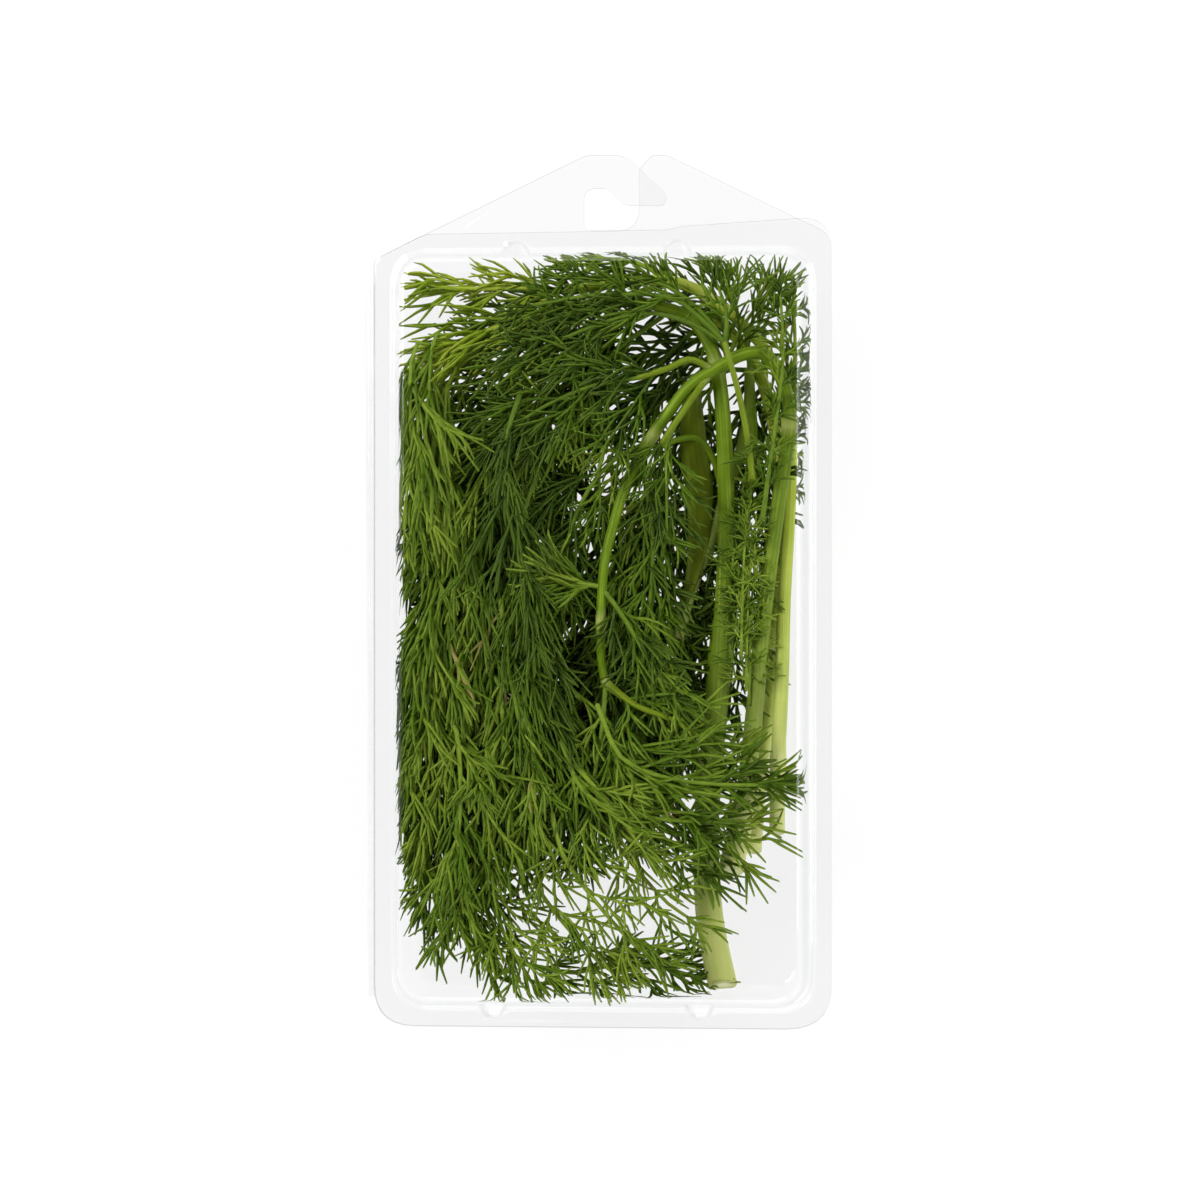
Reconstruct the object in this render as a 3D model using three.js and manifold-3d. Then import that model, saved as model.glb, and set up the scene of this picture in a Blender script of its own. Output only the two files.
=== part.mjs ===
// A bunch of cut dill packed flat in a clear hinged clamshell with a hang tab.
//
// Millimetres, +Z up. The pack lies on its back: the origin is on the surface it lies on, under
// the middle of the pack, +Y runs to the hang tab and +X to the free edge opposite the hinge.
// The clamshell is one thermoformed sheet, folded at its hinge: the tray below, the lid above.

import * as THREE from 'three';
import { mergeVertices } from 'three/addons/utils/BufferGeometryUtils.js';
import Module from 'manifold-3d';

const wasm = await Module();
wasm.setup();

// ---------------------------------------------------------------- driving dimensions

const PACK_LEFT = -51;       // outside of the folded hinge bead
const PACK_RIGHT = 51;       // free edge of the flanges
const PACK_FOOT = -95;       // lower edge of the flanges
const PACK_HEAD = 95;        // top of the hang tab
const SHEET = 0.6;           // wall of the formed sheet
const SEAM_GAP = 0.3;        // between the flanges, and between any two pieces
const TRAY_DEPTH = 14.4;     // surface to the upper face of the tray's flange
const LID_DEPTH = 11.3;      // lower face of the lid's flange to the front face

const LID_BASE = TRAY_DEPTH + SEAM_GAP;
const HINGE_BEAD = 1.35;     // radius of the hinge bead
const HINGE_FOOT = -88.5;
const HINGE_HEAD = 71.5;
const FLANGE_LEFT = PACK_LEFT + 1.5 * HINGE_BEAD;

// Mouth of the cavity at the flanges, and how far each step of its wall stands in from that
// mouth [inset, distance from the flange]: a rim, a ledge, the drafted wall and a rounded edge.
const MOUTH = { left: -45.2, right: 47.4, foot: -91.4, head: 74.9, corner: 8.5 };
const LID_STEPS = [[0, 0], [0.3, 1.6], [1.2, 2.2], [2.6, 9.4], [3.1, 10.7], [4.2, LID_DEPTH]];
const TRAY_STEPS = [[0, 0], [0.3, 1.6], [1.2, 2.2], [3, 12.2], [3.7, 13.7], [4.9, TRAY_DEPTH]];

// ---------------------------------------------------------------- solids from geometries

function solid(geometry) {
  geometry.deleteAttribute('normal');
  geometry.deleteAttribute('uv');
  const merged = mergeVertices(geometry, 1e-4);
  return new wasm.Manifold(new wasm.Mesh({
    numProp: 3,
    vertProperties: new Float32Array(merged.attributes.position.array),
    triVerts: new Uint32Array(merged.index.array),
  }));
}

function geometryOf(manifold) {
  const { vertProperties, triVerts } = manifold.getMesh();
  const geometry = new THREE.BufferGeometry();
  geometry.setAttribute('position', new THREE.BufferAttribute(vertProperties, 3));
  geometry.setIndex(new THREE.BufferAttribute(triVerts, 1));
  geometry.computeVertexNormals();
  return geometry;
}

function joined(solids) {
  return solids.reduce((whole, piece) => whole.add(piece));
}

// ---------------------------------------------------------------- the formed sheet

// A closed outline of corners [x, y, radius], each rounded where its radius is over 0.
function outline(corners, Kind = THREE.Shape) {
  const shape = new Kind();
  const points = corners.map(([x, y]) => new THREE.Vector2(x, y));
  corners.forEach(([x, y, radius], i) => {
    const before = points.at(i - 1).clone().sub(points[i]);
    const after = points[(i + 1) % points.length].clone().sub(points[i]);
    const half = Math.abs(before.angleTo(after)) / 2;
    const run = Math.min(radius / Math.tan(half), before.length() / 2, after.length() / 2);
    const start = before.setLength(run).add(points[i]);
    const end = after.setLength(run).add(points[i]);
    if (i === 0) {
      shape.moveTo(start.x, start.y);
    } else {
      shape.lineTo(start.x, start.y);
    }
    if (radius > 0) {
      shape.quadraticCurveTo(x, y, end.x, end.y);
    }
  });
  return shape;
}

function plate(shape, low, thickness) {
  const options = { depth: thickness, bevelEnabled: false, curveSegments: 5 };
  return solid(new THREE.ExtrudeGeometry(shape, options).translate(0, 0, low));
}

// One ring of the cavity wall: the mouth's rounded rectangle, drawn in by an inset, which takes
// half as much off the corner's radius.
function ring(inset, z) {
  const corner = MOUTH.corner - inset / 2;
  const shape = outline([
    [MOUTH.left + inset, MOUTH.foot + inset, corner],
    [MOUTH.right - inset, MOUTH.foot + inset, corner],
    [MOUTH.right - inset, MOUTH.head - inset, corner],
    [MOUTH.left + inset, MOUTH.head - inset, corner],
  ]);
  return shape.getPoints(4).slice(0, -1).map((point) => [point.x, point.y, z]);
}

// A closed solid through rings of equal count, lowest first, turning anticlockwise.
function loft(rings) {
  const count = rings[0].length;
  const last = rings.length - 1;
  const triangles = [];
  for (let level = 0; level < last; level += 1) {
    for (let i = 0; i < count; i += 1) {
      const a = level * count + i;
      const b = level * count + ((i + 1) % count);
      triangles.push(a, b, b + count, a, b + count, a + count);
    }
  }
  for (let i = 1; i < count - 1; i += 1) {
    triangles.push(0, i + 1, i);
    triangles.push(last * count, last * count + i, last * count + i + 1);
  }
  const geometry = new THREE.BufferGeometry();
  geometry.setAttribute('position', new THREE.Float32BufferAttribute(rings.flat(2), 3));
  geometry.setIndex(triangles);
  return solid(geometry);
}

// The cavity's outside, or its inside one sheet further in, which also cuts the flange open.
function cavity(steps, flange, side, inside) {
  const rings = steps.map(([inset, depth], i) => {
    const wall = inside ? SHEET : 0;
    const run = inside && i === 0 ? -2 * SHEET : depth - wall;
    return ring(inset + wall, flange + side * run);
  });
  return loft(side > 0 ? rings : rings.reverse());
}

// Half of the hinge bead: a half-round along the left edge, bulging away from the seam.
function hingeBead(seam, side) {
  const section = new THREE.Shape();
  section.absarc(0, 0, HINGE_BEAD, 0, Math.PI, false);
  section.closePath();
  const options = { depth: HINGE_HEAD - HINGE_FOOT, bevelEnabled: false, curveSegments: 8 };
  const bar = new THREE.ExtrudeGeometry(section, options);
  bar.rotateX(Math.PI / 2).rotateZ(side > 0 ? 0 : Math.PI).rotateY(side > 0 ? 0 : Math.PI);
  bar.computeBoundingBox();
  bar.translate(PACK_LEFT + HINGE_BEAD, HINGE_HEAD - bar.boundingBox.max.y, seam);
  return solid(bar);
}

// Rounded ribs raised from the sheet along a path: flattened bars with round ends.
function ribs(path, radius, face) {
  return path.slice(1).map(([x2, y2], i) => {
    const [x1, y1] = path[i];
    const bar = new THREE.CapsuleGeometry(radius, Math.hypot(x2 - x1, y2 - y1), 2, 6);
    bar.rotateZ(Math.atan2(y2 - y1, x2 - x1) - Math.PI / 2);
    bar.scale(1, 1, RIB_FLATNESS);
    return solid(bar.translate((x1 + x2) / 2, (y1 + y2) / 2, face));
  });
}

const HEAD_LEFT = [FLANGE_LEFT, 72.6, 2];
const FOOT_LEFT = [FLANGE_LEFT, PACK_FOOT, 9];
const FOOT_RIGHT = [PACK_RIGHT, PACK_FOOT, 10];

// The tray's layer of the tab is a fin: it closes the right side and the foot of the hang hole.
const trayFlange = outline([
  FOOT_LEFT,
  FOOT_RIGHT,
  [PACK_RIGHT, 77.5, 8],
  [44.3, 80.6, 3],
  [15.2, PACK_HEAD, 3],
  [9.1, PACK_HEAD, 3.5],
  [9.1, 78.6, 3],
  [-38, 78.2, 8],
  HEAD_LEFT,
]);

// The lid's layer is a hook: up the long slant, over the top of the hang hole, and open right.
const lidFlange = outline([
  FOOT_LEFT,
  FOOT_RIGHT,
  [PACK_RIGHT, 81.4, 7],
  [18.6, 79.4, 2],
  [14.7, 78.6, 1],
  [-2.7, 78.6, 1.5],
  [-2.7, 87.5, 3],
  [2.9, 87.5, 2],
  [8.6, 84.2, 3],
  [16.4, 84.2, 1.5],
  [6.2, PACK_HEAD, 5],
  [-2.4, PACK_HEAD, 5],
  HEAD_LEFT,
]);

// Ribs that stiffen the tab: round the field left of the hole, and up the middle of the fin.
const HOOK_RIB = [[-28, 79.4], [-22.5, 83], [-8, 85.6], [-5, 87.5], [-5, 79.4], [-28, 79.4]];
const HOOK_RIB_RADIUS = 0.9;
const FIN_RIB = [[23.6, 79], [23.6, 85.5]];
const FIN_RIB_RADIUS = 1.9;
const RIB_FLATNESS = 0.6;

// Half-round lugs in the lid's end walls, where the halves snap shut.
const SNAP_LUGS = [[-17.5, 73.4], [17.5, 73.4], [-22.5, -89.9], [22.5, -89.9]];
const LUG_RADIUS = 2.6;
const LUG_HEIGHT = 6;
const LUG_TAPER = 0.85;

function lugs(radius, low, height) {
  return SNAP_LUGS.map(([x, y]) => {
    const post = new THREE.CylinderGeometry(radius * LUG_TAPER, radius, height, 10);
    return solid(post.rotateX(Math.PI / 2).translate(x, y, low + height / 2));
  });
}

function buildTray() {
  const flangeLow = TRAY_DEPTH - SHEET;
  const formed = joined([
    plate(trayFlange, flangeLow, SHEET),
    cavity(TRAY_STEPS, TRAY_DEPTH, -1, false),
    hingeBead(TRAY_DEPTH, -1),
    ...ribs(FIN_RIB, FIN_RIB_RADIUS, flangeLow),
  ]);
  const trimAbove = new THREE.BoxGeometry(2 * PACK_RIGHT, 2 * PACK_HEAD, TRAY_DEPTH);
  return formed
    .subtract(cavity(TRAY_STEPS, TRAY_DEPTH, -1, true))
    .subtract(solid(trimAbove.translate(0, 0, 1.5 * TRAY_DEPTH)));
}

function buildLid() {
  const flangeTop = LID_BASE + SHEET;
  const formed = joined([
    plate(lidFlange, LID_BASE, SHEET),
    cavity(LID_STEPS, LID_BASE, 1, false),
    hingeBead(LID_BASE, 1),
    ...lugs(LUG_RADIUS + SHEET, LID_BASE, LUG_HEIGHT + SHEET),
    ...ribs(HOOK_RIB, HOOK_RIB_RADIUS, flangeTop),
  ]);
  const trimBelow = new THREE.BoxGeometry(2 * PACK_RIGHT, 2 * PACK_HEAD, LID_BASE);
  return formed
    .subtract(joined([
      cavity(LID_STEPS, LID_BASE, 1, true),
      ...lugs(LUG_RADIUS, LID_BASE - SHEET, LUG_HEIGHT + SHEET),
    ]))
    .subtract(solid(trimBelow.translate(0, 0, LID_BASE / 2)));
}

// ---------------------------------------------------------------- room for the dill

// How far the outside of the cavity wall stands in from the mouth at a distance from the flange.
function insetAt(steps, depth) {
  const above = steps.findIndex(([, stepDepth]) => stepDepth >= depth);
  if (above <= 0) {
    return above < 0 ? Infinity : steps[0][0];
  }
  const [lowInset, lowDepth] = steps[above - 1];
  const [highInset, highDepth] = steps[above];
  return lowInset + ((highInset - lowInset) * (depth - lowDepth)) / (highDepth - lowDepth);
}

// Whether a ball of this radius lies in the closed pack, clear of its walls.
function fitsInside(point, radius) {
  const margin = SHEET + SEAM_GAP + radius;
  const lidDepth = point.z - LID_BASE;
  const inset = lidDepth > 0
    ? insetAt(LID_STEPS, lidDepth + margin)
    : insetAt(TRAY_STEPS, Math.max(TRAY_DEPTH - point.z, 0) + margin);
  const halfWidth = (MOUTH.right - MOUTH.left) / 2 - inset - margin - MOUTH.corner;
  const halfLength = (MOUTH.head - MOUTH.foot) / 2 - inset - margin - MOUTH.corner;
  const outX = Math.abs(point.x - (MOUTH.left + MOUTH.right) / 2) - halfWidth;
  const outY = Math.abs(point.y - (MOUTH.foot + MOUTH.head) / 2) - halfLength;
  const corner = Math.hypot(Math.max(outX, 0), Math.max(outY, 0));
  return corner + Math.min(Math.max(outX, outY), 0) < MOUTH.corner;
}

// Every stem and shoot claims its line, so that what grows later bends clear of it.
const claims = [];

function isClear(line, radius, parent) {
  const outer = new THREE.Line3(line.at(0.3, new THREE.Vector3()), line.end);
  return claims.every((claim) => parent.includes(claim)
    || Math.sqrt(claim.line.distanceSqToLine3(outer)) > claim.radius + radius + SEAM_GAP);
}

// ---------------------------------------------------------------- growing the dill

const UP = new THREE.Vector3(0, 0, 1);
const GROWTH = new THREE.Vector3(0, 1, 0);   // the axis of three's cylinders and cones
// How a stem and a leaf's stalk are drawn: sides, and the length of each straight step.
const STEM = { sides: 7, stepLength: 9 };
const LEAF_STALK = { sides: 4, stepLength: 10 };
const LEAF_FOOT = 0.75;      // radius of a leaf's stalk at its foot
const LEAF_TIP = 0.55;
const LEAF_REACH = 15;       // length of a leaf's longest side branches
const PAIR_SPACING = 6;      // between the pairs of shoots along a leaf

// The three-sided shoots of a leaf: radius, and how far up each is widest.
const BRANCH = { radius: 0.4, widest: 0 };
const NEEDLE = { radius: 0.36, widest: 0 };
const FORK = { radius: 0.4, widest: 0.3 };

const TRIES = 16;            // to find a way clear of the others for one shoot
const SWING = 0.08;          // how much further each try may turn
const SHORTEN = 0.035;       // how much shorter each try is

THREE.MathUtils.seededRandom(11);
const between = (low, high) => low + (high - low) * THREE.MathUtils.seededRandom();

function curveThrough(route) {
  return new THREE.CatmullRomCurve3(route.map((point) => new THREE.Vector3(...point)));
}

// A closed stalk along a route: a cylinder bent to its curve and tapered from foot to tip.
function stalk(route, footRadius, tipRadius, { sides, stepLength }) {
  const curve = curveThrough(route);
  const steps = Math.max(2, Math.round(curve.getLength() / stepLength));
  const frames = curve.computeFrenetFrames(steps);
  const points = curve.getSpacedPoints(steps);
  const tube = new THREE.CylinderGeometry(1, 1, steps, sides, steps);
  const position = tube.attributes.position;
  const radiusAt = (step) => footRadius + ((tipRadius - footRadius) * step) / steps;
  for (let i = 0; i < position.count; i += 1) {
    const step = Math.round(position.getY(i) + steps / 2);
    const offset = frames.normals[step].clone().multiplyScalar(position.getX(i))
      .addScaledVector(frames.binormals[step], -position.getZ(i));
    position.setXYZ(i, ...points[step].clone().addScaledVector(offset, radiusAt(step)));
  }
  const claimed = points.slice(1).map((point, step) => ({
    radius: radiusAt(step),
    line: new THREE.Line3(points[step], point),
  }));
  claims.push(...claimed);
  return { claimed, length: curve.getLength(), body: solid(tube) };
}

// The point at a share of the way up a stalk, on the middle line of its straight steps.
function upStalk({ claimed }, share) {
  const step = Math.min(Math.floor(share * claimed.length), claimed.length - 1);
  const { line } = claimed[step];
  const root = line.at(share * claimed.length - step, new THREE.Vector3());
  return { root, along: line.delta(new THREE.Vector3()).normalize() };
}

// A straight spike along a line: a cone, or a spindle whose root comes to a point as well.
function spike(line, { radius, widest }) {
  const half = line.distance() / 2;
  const profile = [[0, -half], [radius, half * (2 * widest - 1)], [0, half]];
  const body = new THREE.LatheGeometry(profile.map(([x, y]) => new THREE.Vector2(x, y)), 3);
  const direction = line.delta(new THREE.Vector3()).normalize();
  body.applyQuaternion(new THREE.Quaternion().setFromUnitVectors(GROWTH, direction));
  return solid(body.translate(...line.at(0.5, new THREE.Vector3())));
}

// Grows a spike near a direction, turned and shortened until it is clear of all but its parent.
function grow(root, aim, length, parent, kind) {
  for (let turn = 0; turn < TRIES; turn += 1) {
    const stray = () => between(-SWING * turn, SWING * turn);
    const bent = aim.clone()
      .add(new THREE.Vector3(stray(), stray(), stray()))
      .setLength(length * (1 - SHORTEN * turn));
    const line = new THREE.Line3(root, root.clone().add(bent));
    if (fitsInside(line.end, kind.radius) && isClear(line, kind.radius, parent)) {
      const claim = { radius: kind.radius, line };
      claims.push(claim);
      return [{ claim, body: spike(line, kind) }];
    }
  }
  return [];
}

// One side branch, tapering to a point, with a needle forking from it.
function growBranch(leaf, root, aim, length) {
  return grow(root, aim, length, leaf.claimed, BRANCH).flatMap((branch) => {
    const { line } = branch.claim;
    const outward = aim.clone().cross(UP).multiplyScalar(between(0, 1) < 0.5 ? -0.9 : 0.9);
    const side = aim.clone().add(outward).addScaledVector(UP, between(-0.5, 0.5)).normalize();
    const start = line.at(between(0.35, 0.5), new THREE.Vector3());
    return [branch, ...grow(start, side, length * 0.6, [branch.claim, ...leaf.claimed], FORK)];
  });
}

// What grows from one leaf's stalk: pairs of shoots, a forked pair after every two plain ones,
// longest a third of the way up.
function growLeaf(leaf) {
  const pairs = Math.max(3, Math.round(leaf.length / PAIR_SPACING));
  const grown = [];
  for (let pair = 0; pair < pairs; pair += 1) {
    const place = (pair + 0.6) / pairs;
    const { along } = upStalk(leaf, place);
    const across = along.clone().cross(UP).normalize();
    const size = LEAF_REACH * (0.6 + 0.4 * Math.sin(Math.PI * (0.2 + 0.8 * place)));
    for (const side of [-1, 1]) {
      const { root } = upStalk(leaf, place + (side * 0.2) / pairs);
      const aim = along.clone().addScaledVector(across, side * between(0.7, 1.3));
      if (pair % 3 === 1) {
        aim.addScaledVector(UP, between(-0.2, 0.2)).normalize();
        grown.push(...growBranch(leaf, root, aim, size));
      } else {
        aim.addScaledVector(UP, between(-0.6, 0.6)).normalize();
        grown.push(...grow(root, aim, size * between(0.6, 0.9), leaf.claimed, NEEDLE));
      }
    }
  }
  const end = upStalk(leaf, 0.99);
  grown.push(...growBranch(leaf, end.root, end.along, LEAF_REACH * 0.6));
  return grown.map((piece) => piece.body);
}

// ---------------------------------------------------------------- the bunch

// Each plant: its stem's route from the cut foot, and the routes of the leaves that leave it. The
// stems are folded over inside the pack, so they arch at the head. Places are [x, y, z].
const sprigs = [
  {
    name: 'sprig_main',
    color: 0x6d9a3f,
    foot: 3.2,
    tip: 1.2,
    stem: [
      [27, -86.8, 6], [24.5, -74.5, 6.5], [23.5, -63.5, 7], [23.5, -50, 8], [25, -32.5, 9],
      [27, -13, 11], [28, 7, 13], [28, 20, 14], [27.5, 35, 15], [26.5, 46, 15], [24.5, 53.5, 14.5],
      [20, 59.5, 13.5], [12.5, 62.5, 13], [5, 63.5, 13],
    ],
    leaves: [
      [
        [5, 63.5, 13], [-8, 61.5, 13.5], [-21.5, 58, 14], [-32, 53.5, 14.5], [-39.5, 46, 15],
      ],
      [
        [20, 59.5, 13.5], [9.5, 53.5, 14.5], [0.5, 44, 15], [-6, 33, 15.5], [-10.5, 20, 15.5],
      ],
      [
        [26.5, 46, 15], [32, 57, 17.5], [37.5, 63.5, 17.5], [41, 66.5, 17.5],
      ],
    ],
  },
  {
    name: 'sprig_arch',
    color: 0x4f8330,
    foot: 2.1,
    tip: 0.9,
    stem: [
      [30, -59.5, 9.5], [32.5, -46, 10.5], [35.5, -24, 12], [38, -2, 13.5], [40.5, 20, 15], [42, 35, 16],
      [40.5, 45, 18.5], [36.5, 51, 19.5], [31.5, 51, 19.5], [26, 48, 19.5], [20.5, 44.5, 19.5],
      [16, 39, 19], [11.5, 32.5, 18], [7, 24.5, 17.5], [3.5, 13.5, 18], [1.5, 3.5, 18.5],
      [1, -12.5, 18], [2, -20.5, 18],
    ],
    leaves: [
      [
        [26, 48, 19.5], [20.5, 50.5, 20.5], [14, 49, 21], [9, 45.5, 21.3], [1, 42.5, 21.3],
        [-8.5, 37, 21.3], [-19.5, 29.5, 21],
      ],
      [
        [26, 48, 19.5], [22.5, 42.5, 21], [19, 36, 21.5], [16, 31, 21.5], [15.5, 23, 21.5],
        [16.5, 15.5, 21],
      ],
      [
        [1, 1, 18.5], [5.5, -4, 20], [13, -10.5, 20.5], [21.5, -17.5, 20.5], [31, -26.5, 20],
      ],
      [
        [1, 1, 18.5], [-4.5, 3, 19.8], [-10.5, 4, 20],
      ],
      [
        [2, -20.5, 18], [8.5, -24.5, 19.5], [18, -26.5, 20], [29, -26, 20], [36.5, -23.5, 20],
      ],
      [
        [2, -20.5, 18], [1, -32, 18], [-1.5, -45, 18], [-4.5, -58.5, 18],
      ],
    ],
  },
  {
    name: 'sprig_top',
    color: 0x8fae4a,
    foot: 1.7,
    tip: 1.1,
    stem: [
      [40, -52.5, 11], [40.5, -37, 10.8], [41.5, -19.5, 10.5], [42, -2, 10.5], [42.5, 15.5, 11],
      [42.5, 31, 11.5], [41, 43, 11.5], [36.5, 52.5, 12.5], [30, 59.5, 14.5], [22.5, 65, 16],
      [15, 67.5, 16.5], [5, 67, 16.5], [-6, 65.5, 16],
    ],
    leaves: [
      [
        [-6, 65.5, 16], [-16.5, 65.5, 17], [-27.5, 65, 18], [-38, 66, 18.5],
      ],
      [
        [15, 67.5, 16.5], [6, 69.3, 17.5], [-3.5, 70, 18],
      ],
      [
        [22.5, 65, 16], [9.5, 61, 17.5], [-4.5, 53.5, 18.5], [-16.5, 46, 18.5], [-27.5, 37, 18.5],
      ],
    ],
  },
  {
    name: 'sprig_right',
    color: 0x5f8f38,
    foot: 2,
    tip: 1.2,
    stem: [
      [33.5, -57, 4.2], [35, -39.5, 4.5], [37.5, -19.5, 5], [39, -2, 5.5], [39.5, 16, 6],
      [39, 31, 6.5], [37, 42, 7], [33.5, 51, 7.5], [28, 57.5, 8], [20, 62, 8.5],
    ],
    leaves: [
      [
        [39.5, 16, 6], [42, 26.5, 8], [43, 42, 9.5], [43.5, 55, 12], [43, 63, 14],
      ],
      [
        [20, 62, 8.5], [9, 62, 8.5], [-4.5, 57.5, 8.5], [-17.5, 51, 8.5], [-28.5, 42, 8.5],
      ],
    ],
  },
  {
    name: 'sprig_short',
    color: 0x5f8f38,
    foot: 1.6,
    tip: 1.1,
    stem: [
      [17, -10.5, 7.5], [20, 0.5, 8.3], [25, 12.5, 9], [29.5, 25.5, 9.3], [32.5, 37.5, 9.5],
      [33, 48.5, 10],
    ],
    leaves: [
      [
        [33, 48.5, 10], [32, 57.5, 10.5], [26.5, 64, 11], [18, 67, 11],
      ],
    ],
  },
  {
    name: 'cover_leaf',
    color: 0x4a7f2c,
    foot: 0.9,
    tip: 0.8,
    stem: [
      [34, 24, 21.5], [32.5, 32.5, 22.3], [31, 42.5, 22.8], [28.5, 51.5, 23],
    ],
    leaves: [
      [
        [28.5, 51.5, 23], [23.5, 57, 23.3], [17.5, 62, 23.3], [7.5, 62, 23.3], [-3, 59.5, 23.2],
        [-14, 55.5, 23],
      ],
      [
        [28.5, 51.5, 23], [20.5, 53, 23.3], [12, 54, 23.3], [4.5, 52, 23],
      ],
      [
        [28.5, 51.5, 23], [28.5, 58.5, 23.3], [27.5, 65, 23], [26, 69.5, 22.5],
      ],
    ],
  },
];

// Loose leaves, laid in layers between the stems: the front of the pack first.
const looseLeaves = {
  leaf_centre: [
    [-16, 36, 22.8], [-18, 26, 23.2], [-17, 13, 23.3], [-15, 0.5, 23.2], [-13, -12.5, 22.8],
  ],
  leaf_left_top: [
    [-35.5, 53.5, 20], [-37, 54.5, 21.5], [-39.5, 52, 22.5], [-40, 41.5, 23], [-39.5, 28.5, 23.2],
    [-36.5, 15.5, 23],
  ],
  leaf_left_mid: [
    [-32.5, 29.5, 20.5], [-32, 15.5, 20.8], [-33.5, 0.5, 21], [-35.5, -15, 21], [-37, -28, 20.8],
  ],
  leaf_left_low: [
    [-32, -27, 21.5], [-29.5, -30, 22.6], [-28.5, -43, 23], [-28, -55.5, 23], [-31, -68.5, 22.8],
    [-33.5, -78.5, 22.4],
  ],
  leaf_mid_low: [
    [-20.5, -2, 21], [-19, -15, 21], [-16.5, -28, 21], [-14, -43, 21], [-13, -56, 20.8],
  ],
  leaf_bottom_left: [
    [-20, -51.5, 18.5], [-16.5, -62.5, 19], [-11, -73.5, 19.5], [-4.5, -81, 19.5], [3, -85.5, 19],
  ],
  leaf_bottom_mid: [
    [-7.5, -43, 20], [-3.5, -54, 20.3], [4, -64.5, 20.5], [13, -72, 20.3], [22.5, -76.5, 20],
  ],
  leaf_bottom_floor: [
    [-17.5, -84.5, 6], [-6.5, -85, 6.5], [4.5, -82, 7], [15.5, -83, 7], [23, -84, 7],
  ],
  leaf_fan_right: [
    [0.5, -24.5, 22], [5.5, -35.5, 22.6], [15, -40, 23], [27, -41.5, 23], [38, -41.5, 22.8],
    [43, -41.5, 22],
  ],
  leaf_fan_low: [
    [3.5, -35.5, 20.3], [12, -47.5, 20], [22.5, -56, 19.5], [31, -63.5, 19],
  ],
  leaf_right_top: [
    [36, 15.5, 20.5], [37.5, 26, 21.5], [39, 37, 22], [40.5, 50, 22.3], [40, 63, 22.3],
  ],
  leaf_right_mid: [
    [33.5, -21.5, 16], [33, -10.5, 16.5], [33.5, 0.5, 17], [35, 10, 17],
  ],
  leaf_inner_a: [
    [12.5, 29.5, 17], [15.5, 17.5, 16.5], [17.5, 4.5, 16], [16, -8.5, 15.5], [12.5, -21.5, 15],
  ],
  leaf_inner_b: [
    [9, -2, 13], [11.5, -19.5, 13], [10, -37, 12.5], [7, -52, 12],
  ],
  leaf_back_1: [
    [-9, 57.5, 5.5], [-17.5, 42, 5.5], [-24.5, 24.5, 5.5], [-28.5, 7, 5.5], [-32, -10.5, 5.5],
  ],
  leaf_back_2: [
    [-28, 42, 11.5], [-32.5, 24.5, 11.5], [-34.5, 7, 11.5], [-36, -10.5, 11.5], [-37, -28, 11],
  ],
  leaf_back_4: [
    [8.5, 20, 5], [4.5, 2.5, 5], [0, -15, 5], [-2.5, -33, 5], [-3.5, -50.5, 5],
  ],
  leaf_back_5: [
    [-26, -15, 8.3], [-28.5, -32.5, 8], [-29.5, -50, 8], [-30.5, -68, 8], [-28.5, -81, 8],
  ],
  leaf_back_8: [
    [19.5, -10.5, 3.5], [17.5, -28.5, 3], [13, -46, 3], [8.5, -61.5, 3],
  ],
};

const dillPack = new THREE.Group();

function place(name, manifold, color, roughness, extra = {}) {
  const material = new THREE.MeshStandardMaterial({ color, roughness, metalness: 0, ...extra });
  const mesh = new THREE.Mesh(geometryOf(manifold), material);
  mesh.name = name;
  dillPack.add(mesh);
}

const LEAF_GREEN = 0x4f8a30;
const HERB_ROUGHNESS = 0.6;
const CLEAR_PLASTIC = 0xf2f5f4;
const SHEET_ROUGHNESS = 0.08;
const SEE_THROUGH = { transparent: true, opacity: 0.25 };

// All the stems and leaf stalks first, then what grows from them.
const planted = sprigs.map(({ name, color, foot, tip, stem, leaves }) => {
  const stems = [stalk(stem, foot, tip, STEM)];
  const stalks = leaves.map((route) => stalk(route, LEAF_FOOT, LEAF_TIP, LEAF_STALK));
  return { name, color, stems, stalks };
});
for (const [name, route] of Object.entries(looseLeaves)) {
  const stalks = [stalk(route, LEAF_FOOT, LEAF_TIP, LEAF_STALK)];
  planted.push({ name, color: LEAF_GREEN, stems: [], stalks });
}
for (const { name, color, stems, stalks } of planted) {
  const leaves = stalks.flatMap((leaf) => [leaf.body, ...growLeaf(leaf)]);
  place(name, joined([...stems.map((stem) => stem.body), ...leaves]), color, HERB_ROUGHNESS);
}

place('tray', buildTray(), CLEAR_PLASTIC, SHEET_ROUGHNESS, SEE_THROUGH);
place('lid', buildLid(), CLEAR_PLASTIC, SHEET_ROUGHNESS, SEE_THROUGH);

export default dillPack;
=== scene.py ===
import math

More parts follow.
